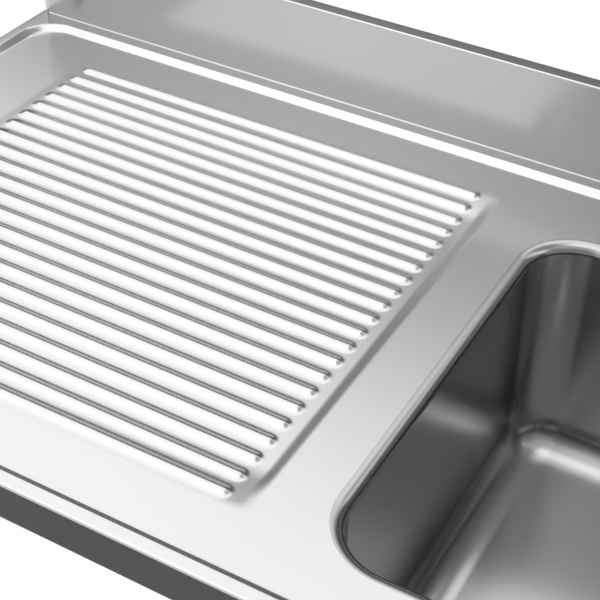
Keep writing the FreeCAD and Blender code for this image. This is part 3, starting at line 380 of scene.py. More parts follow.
# %% [markdown]
# The columns and rows of the blank are close together where the sheet bends and far apart on the
# flats. Cells that the real blank lacks are cut away while it is flat: the room for the bowl, the
# notches of the lip at the corners, and the room beside the upstand for its end caps.

# %% The blank and its lines
CAP_CORNER = 10 * MM
FLAT_X, FLAT_FRONT, FLAT_BACK = END_X - EDGE_RADIUS, EDGE_RADIUS - FOLD_Y, FOLD_Y - FOLD_RADIUS
CAP_X = END_X - CAP_CORNER
SLOPE_X = END_X - RIM_FRONT
DEEP = RIM_FRONT + STEP_CORNER
HOLE_MARGIN = 2 * MM
hole_low = BOWL_MIDDLE - Vector((BOWL_RIM, BOWL_RIM, 0)) / 2 - Vector((HOLE_MARGIN, HOLE_MARGIN, 0))
hole_high = BOWL_MIDDLE * 2 - hole_low
apron_places = fold_lines(APRON, 4)
upstand_places = fold_lines(UPSTAND, 4)

step_ends = (STEP_RUN * STEP_SOFT, STEP_RUN * (1 - STEP_SOFT), STEP_RUN)
left_half = lines_to(-FLAT_X, (-CAP_X, 1), (-SLOPE_X, 1), (step_ends[0] - SLOPE_X, 2),
                     (step_ends[1] - SLOPE_X, 4), (step_ends[2] - SLOPE_X, 2), (DEEP - END_X, 17),
                     (TRAY_LEFT, 2), (TRAY_LEFT + TRAY_CORNER, 9), (RIB_START + 2 * MM, 6),
                     (RIB_STOP - 2 * MM, 5), (RIB_STOP + RIB_HALF, 8),
                     (TRAY_LEFT + 2 * TRAY_HALF[0], 10), (hole_low.x, 1), (hole_high.x, 2),
                     (END_X - DEEP, 1), (SLOPE_X - step_ends[2], 17), (SLOPE_X - step_ends[1], 2),
                     (SLOPE_X - step_ends[0], 4), (SLOPE_X, 2), (CAP_X, 1), (FLAT_X, 1))
across = ([-FLAT_X - place for place in reversed(apron_places[1:])] + left_half
          + [FLAT_X + place for place in apron_places[1:]])
last_rib = FIRST_RIB - (RIB_COUNT - 1) * RIB_PITCH
tray_front = TRAY_BACK - 2 * TRAY_HALF[1]
rim_in, rim_out = RIM_FRONT - FOLD_Y, FOLD_Y - RIM_BACK
front_half = lines_to(FLAT_FRONT, (rim_in, 1), (rim_in + step_ends[0], 2),
                      (rim_in + step_ends[1], 4), (rim_in + step_ends[2], 2), (DEEP - FOLD_Y, 17),
                      (tray_front, 1), (last_rib - RIB_PITCH / 2, 7),
                      (FIRST_RIB + RIB_PITCH / 2, RIB_COUNT * 12), (TRAY_BACK, 4),
                      (rim_out - STEP_CORNER, 1), (rim_out - step_ends[2], 17),
                      (rim_out - step_ends[1], 2), (rim_out - step_ends[0], 4), (rim_out, 2),
                      (FLAT_BACK, 1))
along = ([FLAT_FRONT - place for place in reversed(apron_places[1:])] + front_half
         + [FLAT_BACK + place for place in upstand_places[1:]])
print("blank:", len(across), "by", len(along), "lines")


# %% [markdown]
# The hole for the bowl needs grid lines of its own. Its left and right sides are among the columns
# already, and the rows nearest to its front and back are moved onto them. Then the blank is one
# grid operator, whose points are sent to the lines.


# %% Cut the blank
def settle(lines, place):
    """Moves the nearest line onto this place."""
    nearest = min(range(len(lines)), key=lambda index: abs(lines[index] - place))
    lines[nearest] = place


for place in (hole_low.y, hole_high.y):
    settle(along, place)

top = bmesh.new()
bmesh.ops.create_grid(top, x_segments=len(across) - 1, y_segments=len(along) - 1, size=1)
for vert in top.verts:
    column = round((vert.co.x + 1) / 2 * (len(across) - 1))
    row = round((vert.co.y + 1) / 2 * (len(along) - 1))
    vert.co = (across[column], along[row], 0)


def over(middle):
    """How far a point of the blank lies past the start of the folds: sides, front, back."""
    return abs(middle.x) - FLAT_X, FLAT_FRONT - middle.y, middle.y - FLAT_BACK


lip_start = sum(length for length, curvature in APRON[:2])
flange_start = sum(length for length, curvature in UPSTAND[:2])


def is_waste(middle):
    """Whether this cell is missing from the real blank."""
    side, front, back = over(middle)
    in_hole = hole_low.x < middle.x < hole_high.x and hole_low.y < middle.y < hole_high.y
    lip_corner = side > 0 and front > 0 and max(side, front) > lip_start
    beside_upstand = abs(middle.x) > CAP_X and 0 < back < flange_start
    return in_hole or lip_corner or beside_upstand


waste = [face for face in top.faces if is_waste(face.calc_center_median())]
bmesh.ops.delete(top, geom=waste, context="FACES")
print("blank cut:", len(top.faces), "cells left")

# %% [markdown]
# Now every point is moved once. Over the front and the ends it follows the apron's path, and at
# the two front corners its direction swings round, which gives the small ball of the corner.
# Behind the fold it climbs the upstand, whose flange has rounded ends over the end caps.

# %% Press and fold
outer_columns = [place for place in across if place >= CAP_X - 1e-6]


def corner_share(x):
    """From 0 to 1 over the columns that form the rounded end of the flange."""
    nearest = min(range(len(outer_columns)), key=lambda i: abs(outer_columns[i] - abs(x)))
    return nearest / (len(outer_columns) - 1)


def over_apron(x, side, front):
    """A point past the start of the folds at the front or at an end."""
    reach = max(side, front)
    swing = math.radians(45) * min(max(side, 0), max(front, 0)) / reach
    swing = swing if side > front else QUARTER - swing
    out, up = folded(APRON, reach)
    base_x = min(abs(x), FLAT_X)
    return base_x + out * math.cos(swing), out * math.sin(swing), RIM_Z + up


def place_of(point):
    """Where a point of the flat blank is on the finished top."""
    side, front, back = over(point)
    hand = math.copysign(1, point.x)
    if back > 1e-7:
        out, up = folded(UPSTAND, back)
        x, y = abs(point.x), FLAT_BACK + out
        if x > CAP_X + 1e-6:
            share = corner_share(x)
            behind_face = out - FOLD_RADIUS
            swing = share * QUARTER
            keep = behind_face * (1 - share)
            arc_x = CAP_X + (CAP_CORNER - keep) * math.sin(swing)
            arc_y = FOLD_Y + CAP_CORNER - (CAP_CORNER - keep) * math.cos(swing)
            flat = UPSTAND_DEPTH - 2 * TOP_RADIUS
            blend = min(max((behind_face - TOP_RADIUS) / flat, 0), 1)
            x = arc_x + (CAP_X + CAP_CORNER * share - arc_x) * blend
            y = arc_y + (y - arc_y) * blend
        return hand * x, y, RIM_Z + up
    if side > 1e-7 or front > 1e-7:
        x, forward, z = over_apron(point.x, side, front)
        return hand * x, max(point.y, FLAT_FRONT) - forward, z
    return point.x, point.y, pressed(point.x, point.y)


for vert in top.verts:
    vert.co = place_of(vert.co)
print("pressed and folded:", len(top.verts), "points")

# %% [markdown]
# Three steps are left. The rim goes on under the end caps, so its back edges are drawn out to the
# back. The flat deck round the bowl is filled up to the bowl's rolled rim: two rings of edges, one
# square and one with round corners, are joined by a fill. Last, the sheet gets its thickness.


# %% Ledges, deck round the bowl, thickness
def round_off(bm, geom, affect, offset, segments):
    """Rounds off edges or corners."""
    bmesh.ops.bevel(bm, geom=geom, affect=affect, offset=offset, segments=segments,
                    profile=0.5, material=-1)


def fill_level(bm, edges):
    """Fills the level area between rings of edges with triangles."""
    return bmesh.ops.triangle_fill(bm, use_beauty=True, use_dissolve=False, edges=edges,
                                   normal=(0, 0, 1))


def rounded_square(bm, middle, width, corner, level, corner_steps, side_steps):
    """One flat face with round corners, from a square whose corners are bevelled."""
    made = bmesh.ops.create_grid(bm, x_segments=1, y_segments=1, size=width / 2)
    bmesh.ops.translate(bm, verts=made["verts"], vec=(middle.x, middle.y, level))
    round_off(bm, made["verts"], "VERTICES", corner, corner_steps)
    face = next(f for f in bm.faces if len(f.verts) > 4)
    longest = max(edge.calc_length() for edge in face.edges)
    sides = [edge for edge in face.edges if edge.calc_length() > 0.9 * longest]
    bmesh.ops.subdivide_edges(bm, edges=sides, cuts=side_steps - 1)
    return next(f for f in bm.faces if len(f.verts) > 4)


def add_to(bm, other):
    """Brings the geometry of another workbench into this one."""
    carrier = bpy.data.meshes.new("carrier")
    other.to_mesh(carrier)
    other.free()
    bm.from_mesh(carrier)
    bpy.data.meshes.remove(carrier)


ledge = [edge for edge in top.edges if edge.is_boundary
         and all(abs(vert.co.y - FLAT_BACK) < 1e-6 and abs(vert.co.x) > CAP_X - 1e-6
                 for vert in edge.verts)]
drawn = bmesh.ops.extrude_edge_only(top, edges=ledge)
drawn_verts = [item for item in drawn["geom"] if isinstance(item, bmesh.types.BMVert)]
bmesh.ops.translate(top, verts=drawn_verts, vec=(0, BACK_Y - FLAT_BACK, 0))

BOWL_ROLL, BOWL_CORNER = 11 * MM, 50 * MM
SEAM = 1 * MM
rim_ring = bmesh.new()
rounded_square(rim_ring, BOWL_MIDDLE, BOWL_RIM + 2 * SEAM, BOWL_CORNER + BOWL_ROLL + SEAM,
               DECK_Z, 20, 20)
bmesh.ops.delete(rim_ring, geom=rim_ring.faces[:], context="FACES_ONLY")
add_to(top, rim_ring)


def by_the_bowl(vert):
    """Whether a point is on the flat deck, on or inside the cut-out for the bowl."""
    off = vert.co - BOWL_MIDDLE
    reach = BOWL_RIM / 2 + HOLE_MARGIN + 1e-5
    return abs(vert.co.z - DECK_Z) < 1e-6 and max(abs(off.x), abs(off.y)) < reach


rings = [edge for edge in top.edges if len(edge.link_faces) < 2
         and all(by_the_bowl(vert) for vert in edge.verts)]
filled = fill_level(top, rings)
bmesh.ops.recalc_face_normals(top, faces=top.faces[:])
bmesh.ops.solidify(top, geom=top.faces[:], thickness=GAUGE)
print("top sheet:", len(top.faces), "faces; fill", len(filled["geom"]))
finish_piece(top, "top_sheet", "top", ["sink_top"], SATIN)

# %% [markdown]
# ## The bowl
#
# The bowl is deep-drawn from the same sheet and welded into the top. Its shape is one flat face
# with round corners that is inset again and again: each inset goes a little further in and down
# along a path, over the rolled rim, down the wall, which leans in by 1.5 degrees, and round the
# foot of the wall. The path is written like the folds above.

# %% The bowl's walls
DRAFT = math.radians(1.5)
FLOOR_RADIUS, BOWL_DEPTH = 38 * MM, 250 * MM
STEEP = QUARTER - DRAFT
wall_drop = BOWL_DEPTH - (BOWL_ROLL + FLOOR_RADIUS) * (1 - math.cos(STEEP))
BOWL_PATH = (
    (SEAM, 0),
    (STEEP * BOWL_ROLL, -1 / BOWL_ROLL),
    (wall_drop / math.cos(DRAFT), 0),
    (STEEP * FLOOR_RADIUS, 1 / FLOOR_RADIUS),
)
bowl = bmesh.new()
face = rounded_square(bowl, BOWL_MIDDLE, BOWL_RIM + 2 * SEAM, BOWL_CORNER + BOWL_ROLL + SEAM,
                      DECK_Z, 20, 20)
reached = (0.0, 0.0)
for place in fold_lines(BOWL_PATH, 12)[1:]:
    far, level = folded(BOWL_PATH, place)
    bmesh.ops.inset_region(bowl, faces=[face], thickness=far - reached[0],
                           depth=level - reached[1], use_even_offset=True, use_boundary=True)
    reached = (far, level)
FLOOR_Z = DECK_Z + reached[1]
print("bowl floor at", round(FLOOR_Z, 4))

# %% [markdown]
# The floor gets a round, dished seat for the waste. The last inset face becomes a hole, a circle
# is laid into it, and a fill joins the two. From the circle the seat is drawn in by extruding
# its edge and pulling the new ring together, down to the edge of the hole.


# %% The bowl's floor and seat
def draw_in(bm, edges, middle, shrink, down):
    """Extrudes a ring of edges and pulls it together towards the middle, and down."""
    grown = bmesh.ops.extrude_edge_only(bm, edges=edges)["geom"]
    verts = [item for item in grown if isinstance(item, bmesh.types.BMVert)]
    bmesh.ops.scale(bm, verts=verts, vec=(shrink, shrink, 1),
                    space=Matrix.Translation((-middle.x, -middle.y, 0)))
    bmesh.ops.translate(bm, verts=verts, vec=(0, 0, -down))
    return [item for item in grown if isinstance(item, bmesh.types.BMEdge)]


SEAT_RADIUS, SEAT_DROP, HOLE_RADIUS = 59 * MM, 3 * MM, 45 * MM
bmesh.ops.delete(bowl, geom=[face], context="FACES_ONLY")
foot = [edge for edge in bowl.edges if edge.is_boundary and edge.verts[0].co.z < FLOOR_Z + MM]
radius = SEAT_RADIUS + 0.6 * MM
circle = bmesh.ops.create_circle(bowl, segments=96, radius=radius, cap_ends=False)
bmesh.ops.translate(bowl, verts=circle["verts"], vec=(BOWL_MIDDLE.x, BOWL_MIDDLE.y, FLOOR_Z))
lip = [edge for edge in bowl.edges if not edge.link_faces]
fill_level(bowl, foot + lip)
for next_radius, share in ((SEAT_RADIUS - 0.4 * MM, 0.1), (SEAT_RADIUS - 3.4 * MM, 0.8),
                           (SEAT_RADIUS - 4.4 * MM, 0.1), (HOLE_RADIUS, 0)):
    lip = draw_in(bowl, lip, BOWL_MIDDLE, next_radius / radius, share * SEAT_DROP)
    radius = next_radius
bmesh.ops.solidify(bowl, geom=bowl.faces[:], thickness=GAUGE)
print("hole radius", round(radius, 4))
# The bowl's steel carries painted shade: its darker base colour darkens the inside of the bowl.
finish_piece(bowl, "bowl_sheet", "top", ["bowl"], BOWL_STEEL_PAINTED_SHADE)

# %% [markdown]
# ## The end caps of the upstand
#
# A plate closes each end of the upstand and turns round its front corner, where it meets the
# front face without a step, because the weld is ground flush. One point is spun round the corner
# and drawn out to the back, and the line that it leaves is pulled up to the flange.


# %% End caps
def pull(bm, edges, way):
    """Extrudes edges and moves the new ones."""
    grown = bmesh.ops.extrude_edge_only(bm, edges=edges)["geom"]
    verts = [item for item in grown if isinstance(item, bmesh.types.BMVert)]
    bmesh.ops.translate(bm, verts=verts, vec=way)
    return verts


def point_outwards(bm, middle):
    """Makes the faces agree and turns them all over if they look at the middle."""
    bmesh.ops.recalc_face_normals(bm, faces=bm.faces[:])
    bm.normal_update()
    outward = sum(face.normal.dot(face.calc_center_median() - middle) for face in bm.faces)
    if outward < 0:
        bmesh.ops.reverse_faces(bm, faces=bm.faces[:])


for side_name, hand in (("left", -1), ("right", 1)):
    cap = bmesh.new()
    first = cap.verts.new((hand * CAP_X, FOLD_Y, RIM_Z))
    spun = bmesh.ops.spin(cap, geom=[first], cent=(hand * CAP_X, FOLD_Y + CAP_CORNER, RIM_Z),
                          axis=(0, 0, 1), angle=hand * QUARTER, steps=12)
    last = next(item for item in spun["geom_last"] if isinstance(item, bmesh.types.BMVert))
    drawn = bmesh.ops.extrude_vert_indiv(cap, verts=[last])
    bmesh.ops.translate(cap, verts=drawn["verts"], vec=(0, BACK_Y - FOLD_Y - CAP_CORNER, 0))
    pull(cap, cap.edges[:], (0, 0, UPSTAND_TOP - TOP_RADIUS - RIM_Z))
    point_outwards(cap, Vector((0, BACK_Y, RIM_Z)))
    bmesh.ops.solidify(cap, geom=cap.faces[:], thickness=GAUGE)
    finish_piece(cap, f"end_cap_{side_name}", "top", [f"upstand_end_cap_{side_name}"],
                 SATIN)

# %% [markdown]
# ## Finishes of the hidden parts
#
# Below the sheet each part has a finish of its own. The frame is plain rolled steel with a duller,
# cloudier gloss. Studs and nuts are plated. The waste's flange and basket are polished. The pads
# are a matt black sheet with a fine pebbled skin, the seals are smooth rubber and the waste body
# is moulded plastic. Two small nets do for all of them: the metal one above and this one.


# %% Finishes that aren't metal
def moulded(name, colour, roughness, cells, relief, coat=0.0):
    """Rubber or plastic: its tone and gloss drift a little and its skin has a fine relief."""
    look = bpy.data.materials.new(name)
    net = Net(look)
    place = net.node("TexCoord", output=3)
    cloud = net.node("TexNoise", {}, {"Vector": place, "Scale": 18.0, "Detail": 3.0})
    skin = net.node("TexNoise", {}, {"Vector": place, "Scale": cells, "Detail": 2.0})
    tint = net.mix(cloud, tuple(0.85 * c for c in colour) + (1,),
                   tuple(min(1.12 * c, 1) for c in colour) + (1,))
    bump = net.node("Bump", {}, {"Height": skin, "Strength": relief, "Distance": 0.0006})
    shader = net.node("BsdfPrincipled", {}, {"Base Color": tint, "Normal": bump,
                                             "Roughness": roughness + (cloud - 0.5) * 0.12,
                                             "Coat Weight": coat})
    net.node("OutputMaterial", {}, {"Surface": shader})
    return look


FRAME = steel("frame_steel", (0.5, 0.51, 0.52), 0.4, (160, 160, 160), 0.08, 0.16, 0.01)
PLATED = steel("plated_steel", (0.57, 0.57, 0.56), 0.3, (400, 400, 400), 0.08, 0.1, 0.02)
POLISHED = steel("polished_steel", (0.74, 0.74, 0.75), 0.12, (60, 60, 900), 0.04, 0.03, 0.004)
DAMPING = moulded("damping_sheet", (0.05, 0.05, 0.054), 0.82, 700, 0.35)
RUBBER = moulded("seal_rubber", (0.04, 0.04, 0.04), 0.5, 300, 0.08)
PLASTIC = moulded("white_plastic", (0.8, 0.8, 0.78), 0.36, 500, 0.04, 0.1)
print("finishes:", len(bpy.data.materials))

# %% [markdown]
# ## Folded sections
#
# Rails and stiffeners are strips of sheet, folded along their length. The outside of a section is
# drawn as a line of corners, the line is pulled to its length, the fold edges are rounded and the
# strip gets its thickness on the inside. That is also the order of a real folding machine's work.


# %% A folded strip
def drawn_line(bm, points):
    """A chain of edges through these points."""
    vert = bm.verts.new(points[0])
    chain = [vert]
    for point in points[1:]:
        vert = bmesh.ops.extrude_vert_indiv(bm, verts=[vert])["verts"][0]
        vert.co = point
        chain.append(vert)
    return chain


def shift(bm, way):
    """Moves all that is on a workbench."""
    bmesh.ops.translate(bm, verts=bm.verts[:], vec=way)


def swing_round(bm, angle):
    """Turns all that is on a workbench about the upright axis."""
    bmesh.ops.rotate(bm, verts=bm.verts[:], matrix=Matrix.Rotation(angle, 3, "Z"))


def folded_strip(corners, length, gauge, bend, inner_point):
    """A section in the YZ plane, pulled along X; its middle is at the origin."""
    bm = bmesh.new()
    drawn_line(bm, [(-length / 2, y, z) for y, z in corners])
    pull(bm, bm.edges[:], (length, 0, 0))
    point_outwards(bm, Vector(inner_point))
    folds = [edge for edge in bm.edges if len(edge.link_faces) == 2]
    round_off(bm, folds, "EDGES", bend, 3)
    bmesh.ops.solidify(bm, geom=bm.faces[:], thickness=gauge)
    return bm


RAIL_GAUGE, RAIL_LIP, RAIL_BEND = 1.5 * MM, 8 * MM, 2.2 * MM
RAILS = ("front_rail", "rear_rail", "cross_rail_left", "cross_rail_middle", "cross_rail_right")
for name in RAILS:
    low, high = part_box(name)
    size, middle = high - low, (low + high) / 2
    along_x = size.x > size.y
    half, up = min(size.x, size.y) / 2, size.z / 2
    section = ((RAIL_LIP - half, -up), (-half, -up), (-half, up), (half, up), (half, -up),
               (half - RAIL_LIP, -up))
    rail = folded_strip(section, max(size.x, size.y), RAIL_GAUGE, RAIL_BEND, (0, 0, 0))
    if not along_x:
        swing_round(rail, QUARTER)
    shift(rail, middle)
    finish_piece(rail, name + "_strip", "top", [name], FRAME)

# %% [markdown]
# Two hat sections are glued under the drainer, front to back. They follow its fall, so they are
# made level and then tilted about the line where the drainer crosses the deck.

# %% Stiffeners
CROSSING = Matrix.Translation((TRAY_PIVOT, TRAY_MIDDLE[1], DECK_Z))
TILT = CROSSING @ Matrix.Rotation(TRAY_ANGLE, 4, "Y")
HAT_LENGTH, HAT_SPACING, HAT_DEPTH, HAT_BEND = 440 * MM, 280 * MM, 12 * MM, 1.6 * MM
field_middle = TRAY_MIDDLE[0] - TRAY_PIVOT
crown, wide = 15 * MM, 30 * MM
for side_name, hand in (("left", -1), ("right", 1)):
    section = ((-wide, -GAUGE), (-crown, -GAUGE), (-crown, -HAT_DEPTH), (crown, -HAT_DEPTH),
               (crown, -GAUGE), (wide, -GAUGE))
    hat = folded_strip(section, HAT_LENGTH, GAUGE, HAT_BEND, (0, 0, 1))
    swing_round(hat, QUARTER)
    place = Matrix.Translation((field_middle + hand * HAT_SPACING / 2, 0, -GAUGE))
    bmesh.ops.transform(hat, matrix=TILT @ place, verts=hat.verts[:])
    finish_piece(hat, f"stiffener_{side_name}_strip", "top", [f"drainer_stiffener_{side_name}"],
                 FRAME)

# %% [markdown]
# ## Plates and pads
#
# Four plates under the rails take the screws of the stand. They are cut from 3 mm sheet with a
# round hole. The damping pads are cut from thick black sheet and glued on: one under the drainer,
# one on each wall of the bowl and a round one under its floor. They take the ring out of the
# steel when water falls on it.


# %% A cut sheet, with or without a hole
def sharp_edges(bm):
    """The edges that aren't shaded round."""
    return [edge for edge in bm.edges if edge.calc_face_angle() > CRISP]


def cut_sheet(length, width, corner, thickness, hole=0.0):
    """A plate in the XY plane that grows downwards from level 0."""
    bm = bmesh.new()
    made = bmesh.ops.create_grid(bm, x_segments=1, y_segments=1, size=0.5)
    bmesh.ops.scale(bm, verts=made["verts"], vec=(length, width, 1))
    round_off(bm, made["verts"], "VERTICES", corner, 6)
    if hole:
        bmesh.ops.delete(bm, geom=bm.faces[:], context="FACES_ONLY")
        bmesh.ops.create_circle(bm, segments=32, radius=hole / 2, cap_ends=False)
        fill_level(bm, bm.edges[:])
    point_outwards(bm, Vector((0, 0, -1)))
    bmesh.ops.solidify(bm, geom=bm.faces[:], thickness=thickness)
    round_off(bm, sharp_edges(bm), "EDGES", 0.12 * thickness, 2)
    return bm


for edge_name in ("front", "rear"):
    for side_name in ("left", "right"):
        node = f"fixing_plate_{edge_name}_{side_name}"
        low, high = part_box(node)
        plate = cut_sheet(high.x - low.x, high.y - low.y, 3 * MM, high.z - low.z, 9 * MM)
        shift(plate, ((low.x + high.x) / 2, (low.y + high.y) / 2, high.z))
        finish_piece(plate, node + "_cut", "top", [node], FRAME)

# %% Damping pads
PAD, WALL_PAD_LENGTH, WALL_PAD_HEIGHT, WALL_PAD_TOP = 2.5 * MM, 260 * MM, 130 * MM, 60 * MM
tray_pad = cut_sheet(180 * MM, 360 * MM, 4 * PAD, PAD)
place = Matrix.Translation((field_middle, 0, -GAUGE))
bmesh.ops.transform(tray_pad, matrix=TILT @ place, verts=tray_pad.verts[:])
finish_piece(tray_pad, "drainer_pad", "top", ["drainer_damping_pad"], DAMPING)

opening = BOWL_RIM - 2 * BOWL_ROLL
hinge = opening / 2 + GAUGE
pad_down = (WALL_PAD_TOP - GAUGE + WALL_PAD_HEIGHT / 2) / math.cos(DRAFT)
for wall_name, turn in (("front", 0), ("right", 90), ("rear", 180), ("left", 270)):
    wall_pad = cut_sheet(WALL_PAD_LENGTH, WALL_PAD_HEIGHT, 4 * PAD, PAD)
    wall = Matrix.Translation((BOWL_MIDDLE.x, BOWL_MIDDLE.y, DECK_Z - GAUGE))
    leaning = Matrix.Translation((0, -hinge, 0)) @ Matrix.Rotation(QUARTER + DRAFT, 4, "X")
    against = Matrix.Translation((0, -pad_down, 0)) @ Matrix.Rotation(math.pi, 4, "X")
    place = wall @ Matrix.Rotation(math.radians(turn), 4, "Z") @ leaning @ against
    bmesh.ops.transform(wall_pad, matrix=place, verts=wall_pad.verts[:])
    finish_piece(wall_pad, f"bowl_pad_{wall_name}", "top", [f"bowl_damping_pad_{wall_name}"],
                 DAMPING)

# %% [markdown]
# ## Round parts
#
# Everything on the waste's axis is round: a half profile, written as pairs of radius and level,
# is spun once about the axis. Its corners are rounded before the spin, which rounds them all the
# way round. Thick parts have a closed profile. Sheet parts have an open one, get their floor by a
# fill between rings, with the holes left open, and then their thickness.


# %% Spinning a profile
AXIS = Vector((BOWL_MIDDLE.x, BOWL_MIDDLE.y, 0))


def spun(points, steps, rounding=0.0, closed=True):
    """Spins a half profile about the waste's axis."""
    bm = bmesh.new()
    chain = drawn_line(bm, [(AXIS.x + radius, AXIS.y, level) for radius, level in points])
    if closed:
        bmesh.ops.contextual_create(bm, geom=[chain[-1], chain[0]])
        bmesh.ops.delete(bm, geom=bm.faces[:], context="FACES_ONLY")
    if rounding:
        corners = [vert for vert in bm.verts
                   if len(vert.link_edges) == 2 and vert.co.x - AXIS.x > 0.01 * MM]
        round_off(bm, corners, "VERTICES", rounding, 3)
    bmesh.ops.spin(bm, geom=bm.verts[:] + bm.edges[:], cent=AXIS, axis=(0, 0, 1),
                   angle=2 * math.pi, steps=steps, use_merge=True)
    bmesh.ops.remove_doubles(bm, verts=bm.verts[:], dist=1e-6)
    if closed:
        on_axis = [edge for edge in bm.edges if not edge.link_faces]
        bmesh.ops.delete(bm, geom=on_axis, context="EDGES")
        bmesh.ops.recalc_face_normals(bm, faces=bm.faces[:])
    return bm


def ring_piece(name, node, inner, look, rounding):
    """A flat ring whose height and outer size are those of its node."""
    low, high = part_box(node)
    outer = (high.x - low.x) / 2
    made = spun(((inner, low.z), (outer, low.z), (outer, high.z), (inner, high.z)), 96, rounding)
    finish_piece(made, name, "top", [node], look)


ring_piece("seal_under_flange", "flange_seal", 45.3 * MM, RUBBER, 0.25 * MM)
ring_piece("gasket_under_bowl", "bowl_gasket", 47 * MM, RUBBER, 0.4 * MM)
ring_piece("bowl_pad_floor", "bowl_damping_pad_floor", 67 * MM, DAMPING, 0.3 * MM)

# %% [markdown]
# The cup of the waste is pressed and polished. Its flange covers the edge of the hole in the
# bowl, a shoulder inside carries the basket and eight holes in its floor let the water through.


# %% The cup with its flange
def floor_with_holes(bm, rings_level, holes):
    """Fills the open lower ring of a spun sheet, but for round holes (radius, place)."""
    rim = [edge for edge in bm.edges if edge.is_boundary
           and all(abs(vert.co.z - rings_level) < 1e-5 for vert in edge.verts)]
    for radius, spot in holes:
        hole = bmesh.ops.create_circle(bm, segments=24, radius=radius, cap_ends=False)
        bmesh.ops.translate(bm, verts=hole["verts"], vec=(spot.x, spot.y, rings_level))
    rim += [edge for edge in bm.edges if not edge.link_faces]
    fill_level(bm, rim)


flange_low, flange_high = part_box("waste_flange")
FLANGE_RADIUS = (flange_high.x - flange_low.x) / 2
CUP_RADIUS, THROAT_RADIUS, SCREW_HOLE, DRAIN_HOLE = 42 * MM, 34 * MM, 3.3 * MM, 5 * MM
DRAIN_CIRCLE, DRAIN_COUNT = 22 * MM, 8
shoulder = flange_high.z - GAUGE - 14 * MM
throat = shoulder - CUP_RADIUS + THROAT_RADIUS
cup_floor = flange_low.z + GAUGE
cup = spun(((FLANGE_RADIUS, flange_high.z), (CUP_RADIUS, flange_high.z), (CUP_RADIUS, shoulder),
            (THROAT_RADIUS, throat), (THROAT_RADIUS, cup_floor)), 96, 1.2 * MM, closed=False)
holes = [(SCREW_HOLE, AXIS)]
for index in range(DRAIN_COUNT):
    turned = Matrix.Rotation(index * 2 * math.pi / DRAIN_COUNT, 3, "Z")
    holes.append((DRAIN_HOLE, AXIS + turned @ Vector((DRAIN_CIRCLE, 0, 0))))
floor_with_holes(cup, cup_floor, holes)
point_outwards(cup, Vector((AXIS.x, AXIS.y, -10)))
bmesh.ops.solidify(cup, geom=cup.faces[:], thickness=GAUGE)
finish_piece(cup, "waste_cup", "top", ["waste_flange"], POLISHED)

# %% [markdown]
# Below the bowl a plastic body collects the water. A screw pulls its hub up against the cup, and
# that clamps the bowl between the two seals. The body ends in a funnel and a threaded outlet.

# %% The body, the funnel and the screw
body_low, body_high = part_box("waste_body")
funnel_low, funnel_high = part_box("outlet_funnel")
COLLAR, BORE, WALL = (body_high.x - body_low.x) / 2, 47 * MM, 3 * MM
shell_foot = funnel_high.z
collar_top = shell_foot + 40 * MM
shell = spun(((COLLAR, collar_top), (BORE, collar_top), (BORE, shell_foot),
              (BORE + WALL, shell_foot), (BORE + WALL, collar_top - WALL),
              (COLLAR, collar_top - WALL)), 96, 0.5 * MM)
hub_low, hub_high = flange_low.z - 22 * MM, flange_low.z
HUB = 8 * MM
add_to(shell, spun(((SCREW_HOLE, hub_low), (HUB, hub_low), (HUB, hub_high),
                    (SCREW_HOLE, hub_high)), 32, 0.4 * MM))
arm_height = hub_high - 0.3 * MM - shell_foot
arm_start, arm_end = 7 * MM, BORE + 0.5 * MM
for index in range(4):
    arm = bmesh.new()
    bmesh.ops.create_cube(arm, size=1)
    bmesh.ops.scale(arm, verts=arm.verts[:], vec=(arm_end - arm_start, 4 * MM, arm_height))
    shift(arm, ((arm_start + arm_end) / 2, 0, shell_foot + arm_height / 2))
    swing_round(arm, index * QUARTER)
    shift(arm, AXIS)
    round_off(arm, arm.edges[:], "EDGES", 0.4 * MM, 2)
    add_to(shell, arm)
finish_piece(shell, "waste_shell", "top", ["waste_body"], PLASTIC)

outlet_top, OUTLET_BORE = shell_foot - 13 * MM, 20.5 * MM
THREAD, THREAD_ROOT, THREAD_TURNS, PITCH = 23.9 * MM, 23 * MM, 11, 2.3 * MM
thread = [(THREAD_ROOT, funnel_low.z)]
for turn in range(THREAD_TURNS):
    level = funnel_low.z + PITCH * (turn + 0.5)
    thread += [(THREAD_ROOT, level - 0.3 * PITCH), (THREAD, level),
               (THREAD_ROOT, level + 0.3 * PITCH)]
thread += [(THREAD, outlet_top - WALL)]
profile = ([(BORE + WALL, shell_foot), (BORE, shell_foot), (OUTLET_BORE, outlet_top),
            (OUTLET_BORE, funnel_low.z)] + thread + [(BORE + WALL, shell_foot - WALL)])
finish_piece(spun(profile, 96), "waste_funnel", "top", ["outlet_funnel"], PLASTIC)

screw_low, screw_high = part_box("clamp_screw")
head_foot = screw_high.z - 3 * MM
screw = spun(((0, screw_low.z), (3 * MM, screw_low.z), (3 * MM, head_foot), (6 * MM, head_foot),
              (6 * MM, screw_high.z), (0, screw_high.z)), 32, 0.6 * MM)
finish_piece(screw, "waste_screw", "top", ["clamp_screw"], PLATED)

# %% [markdown]
# ## The basket
#
# The strainer basket lifts out, so its three parts ride on a body of their own. The basket is
# thin sheet with twelve slots in its wall, a rubber plug under its floor closes the drain and a
# knob in the middle lifts it.

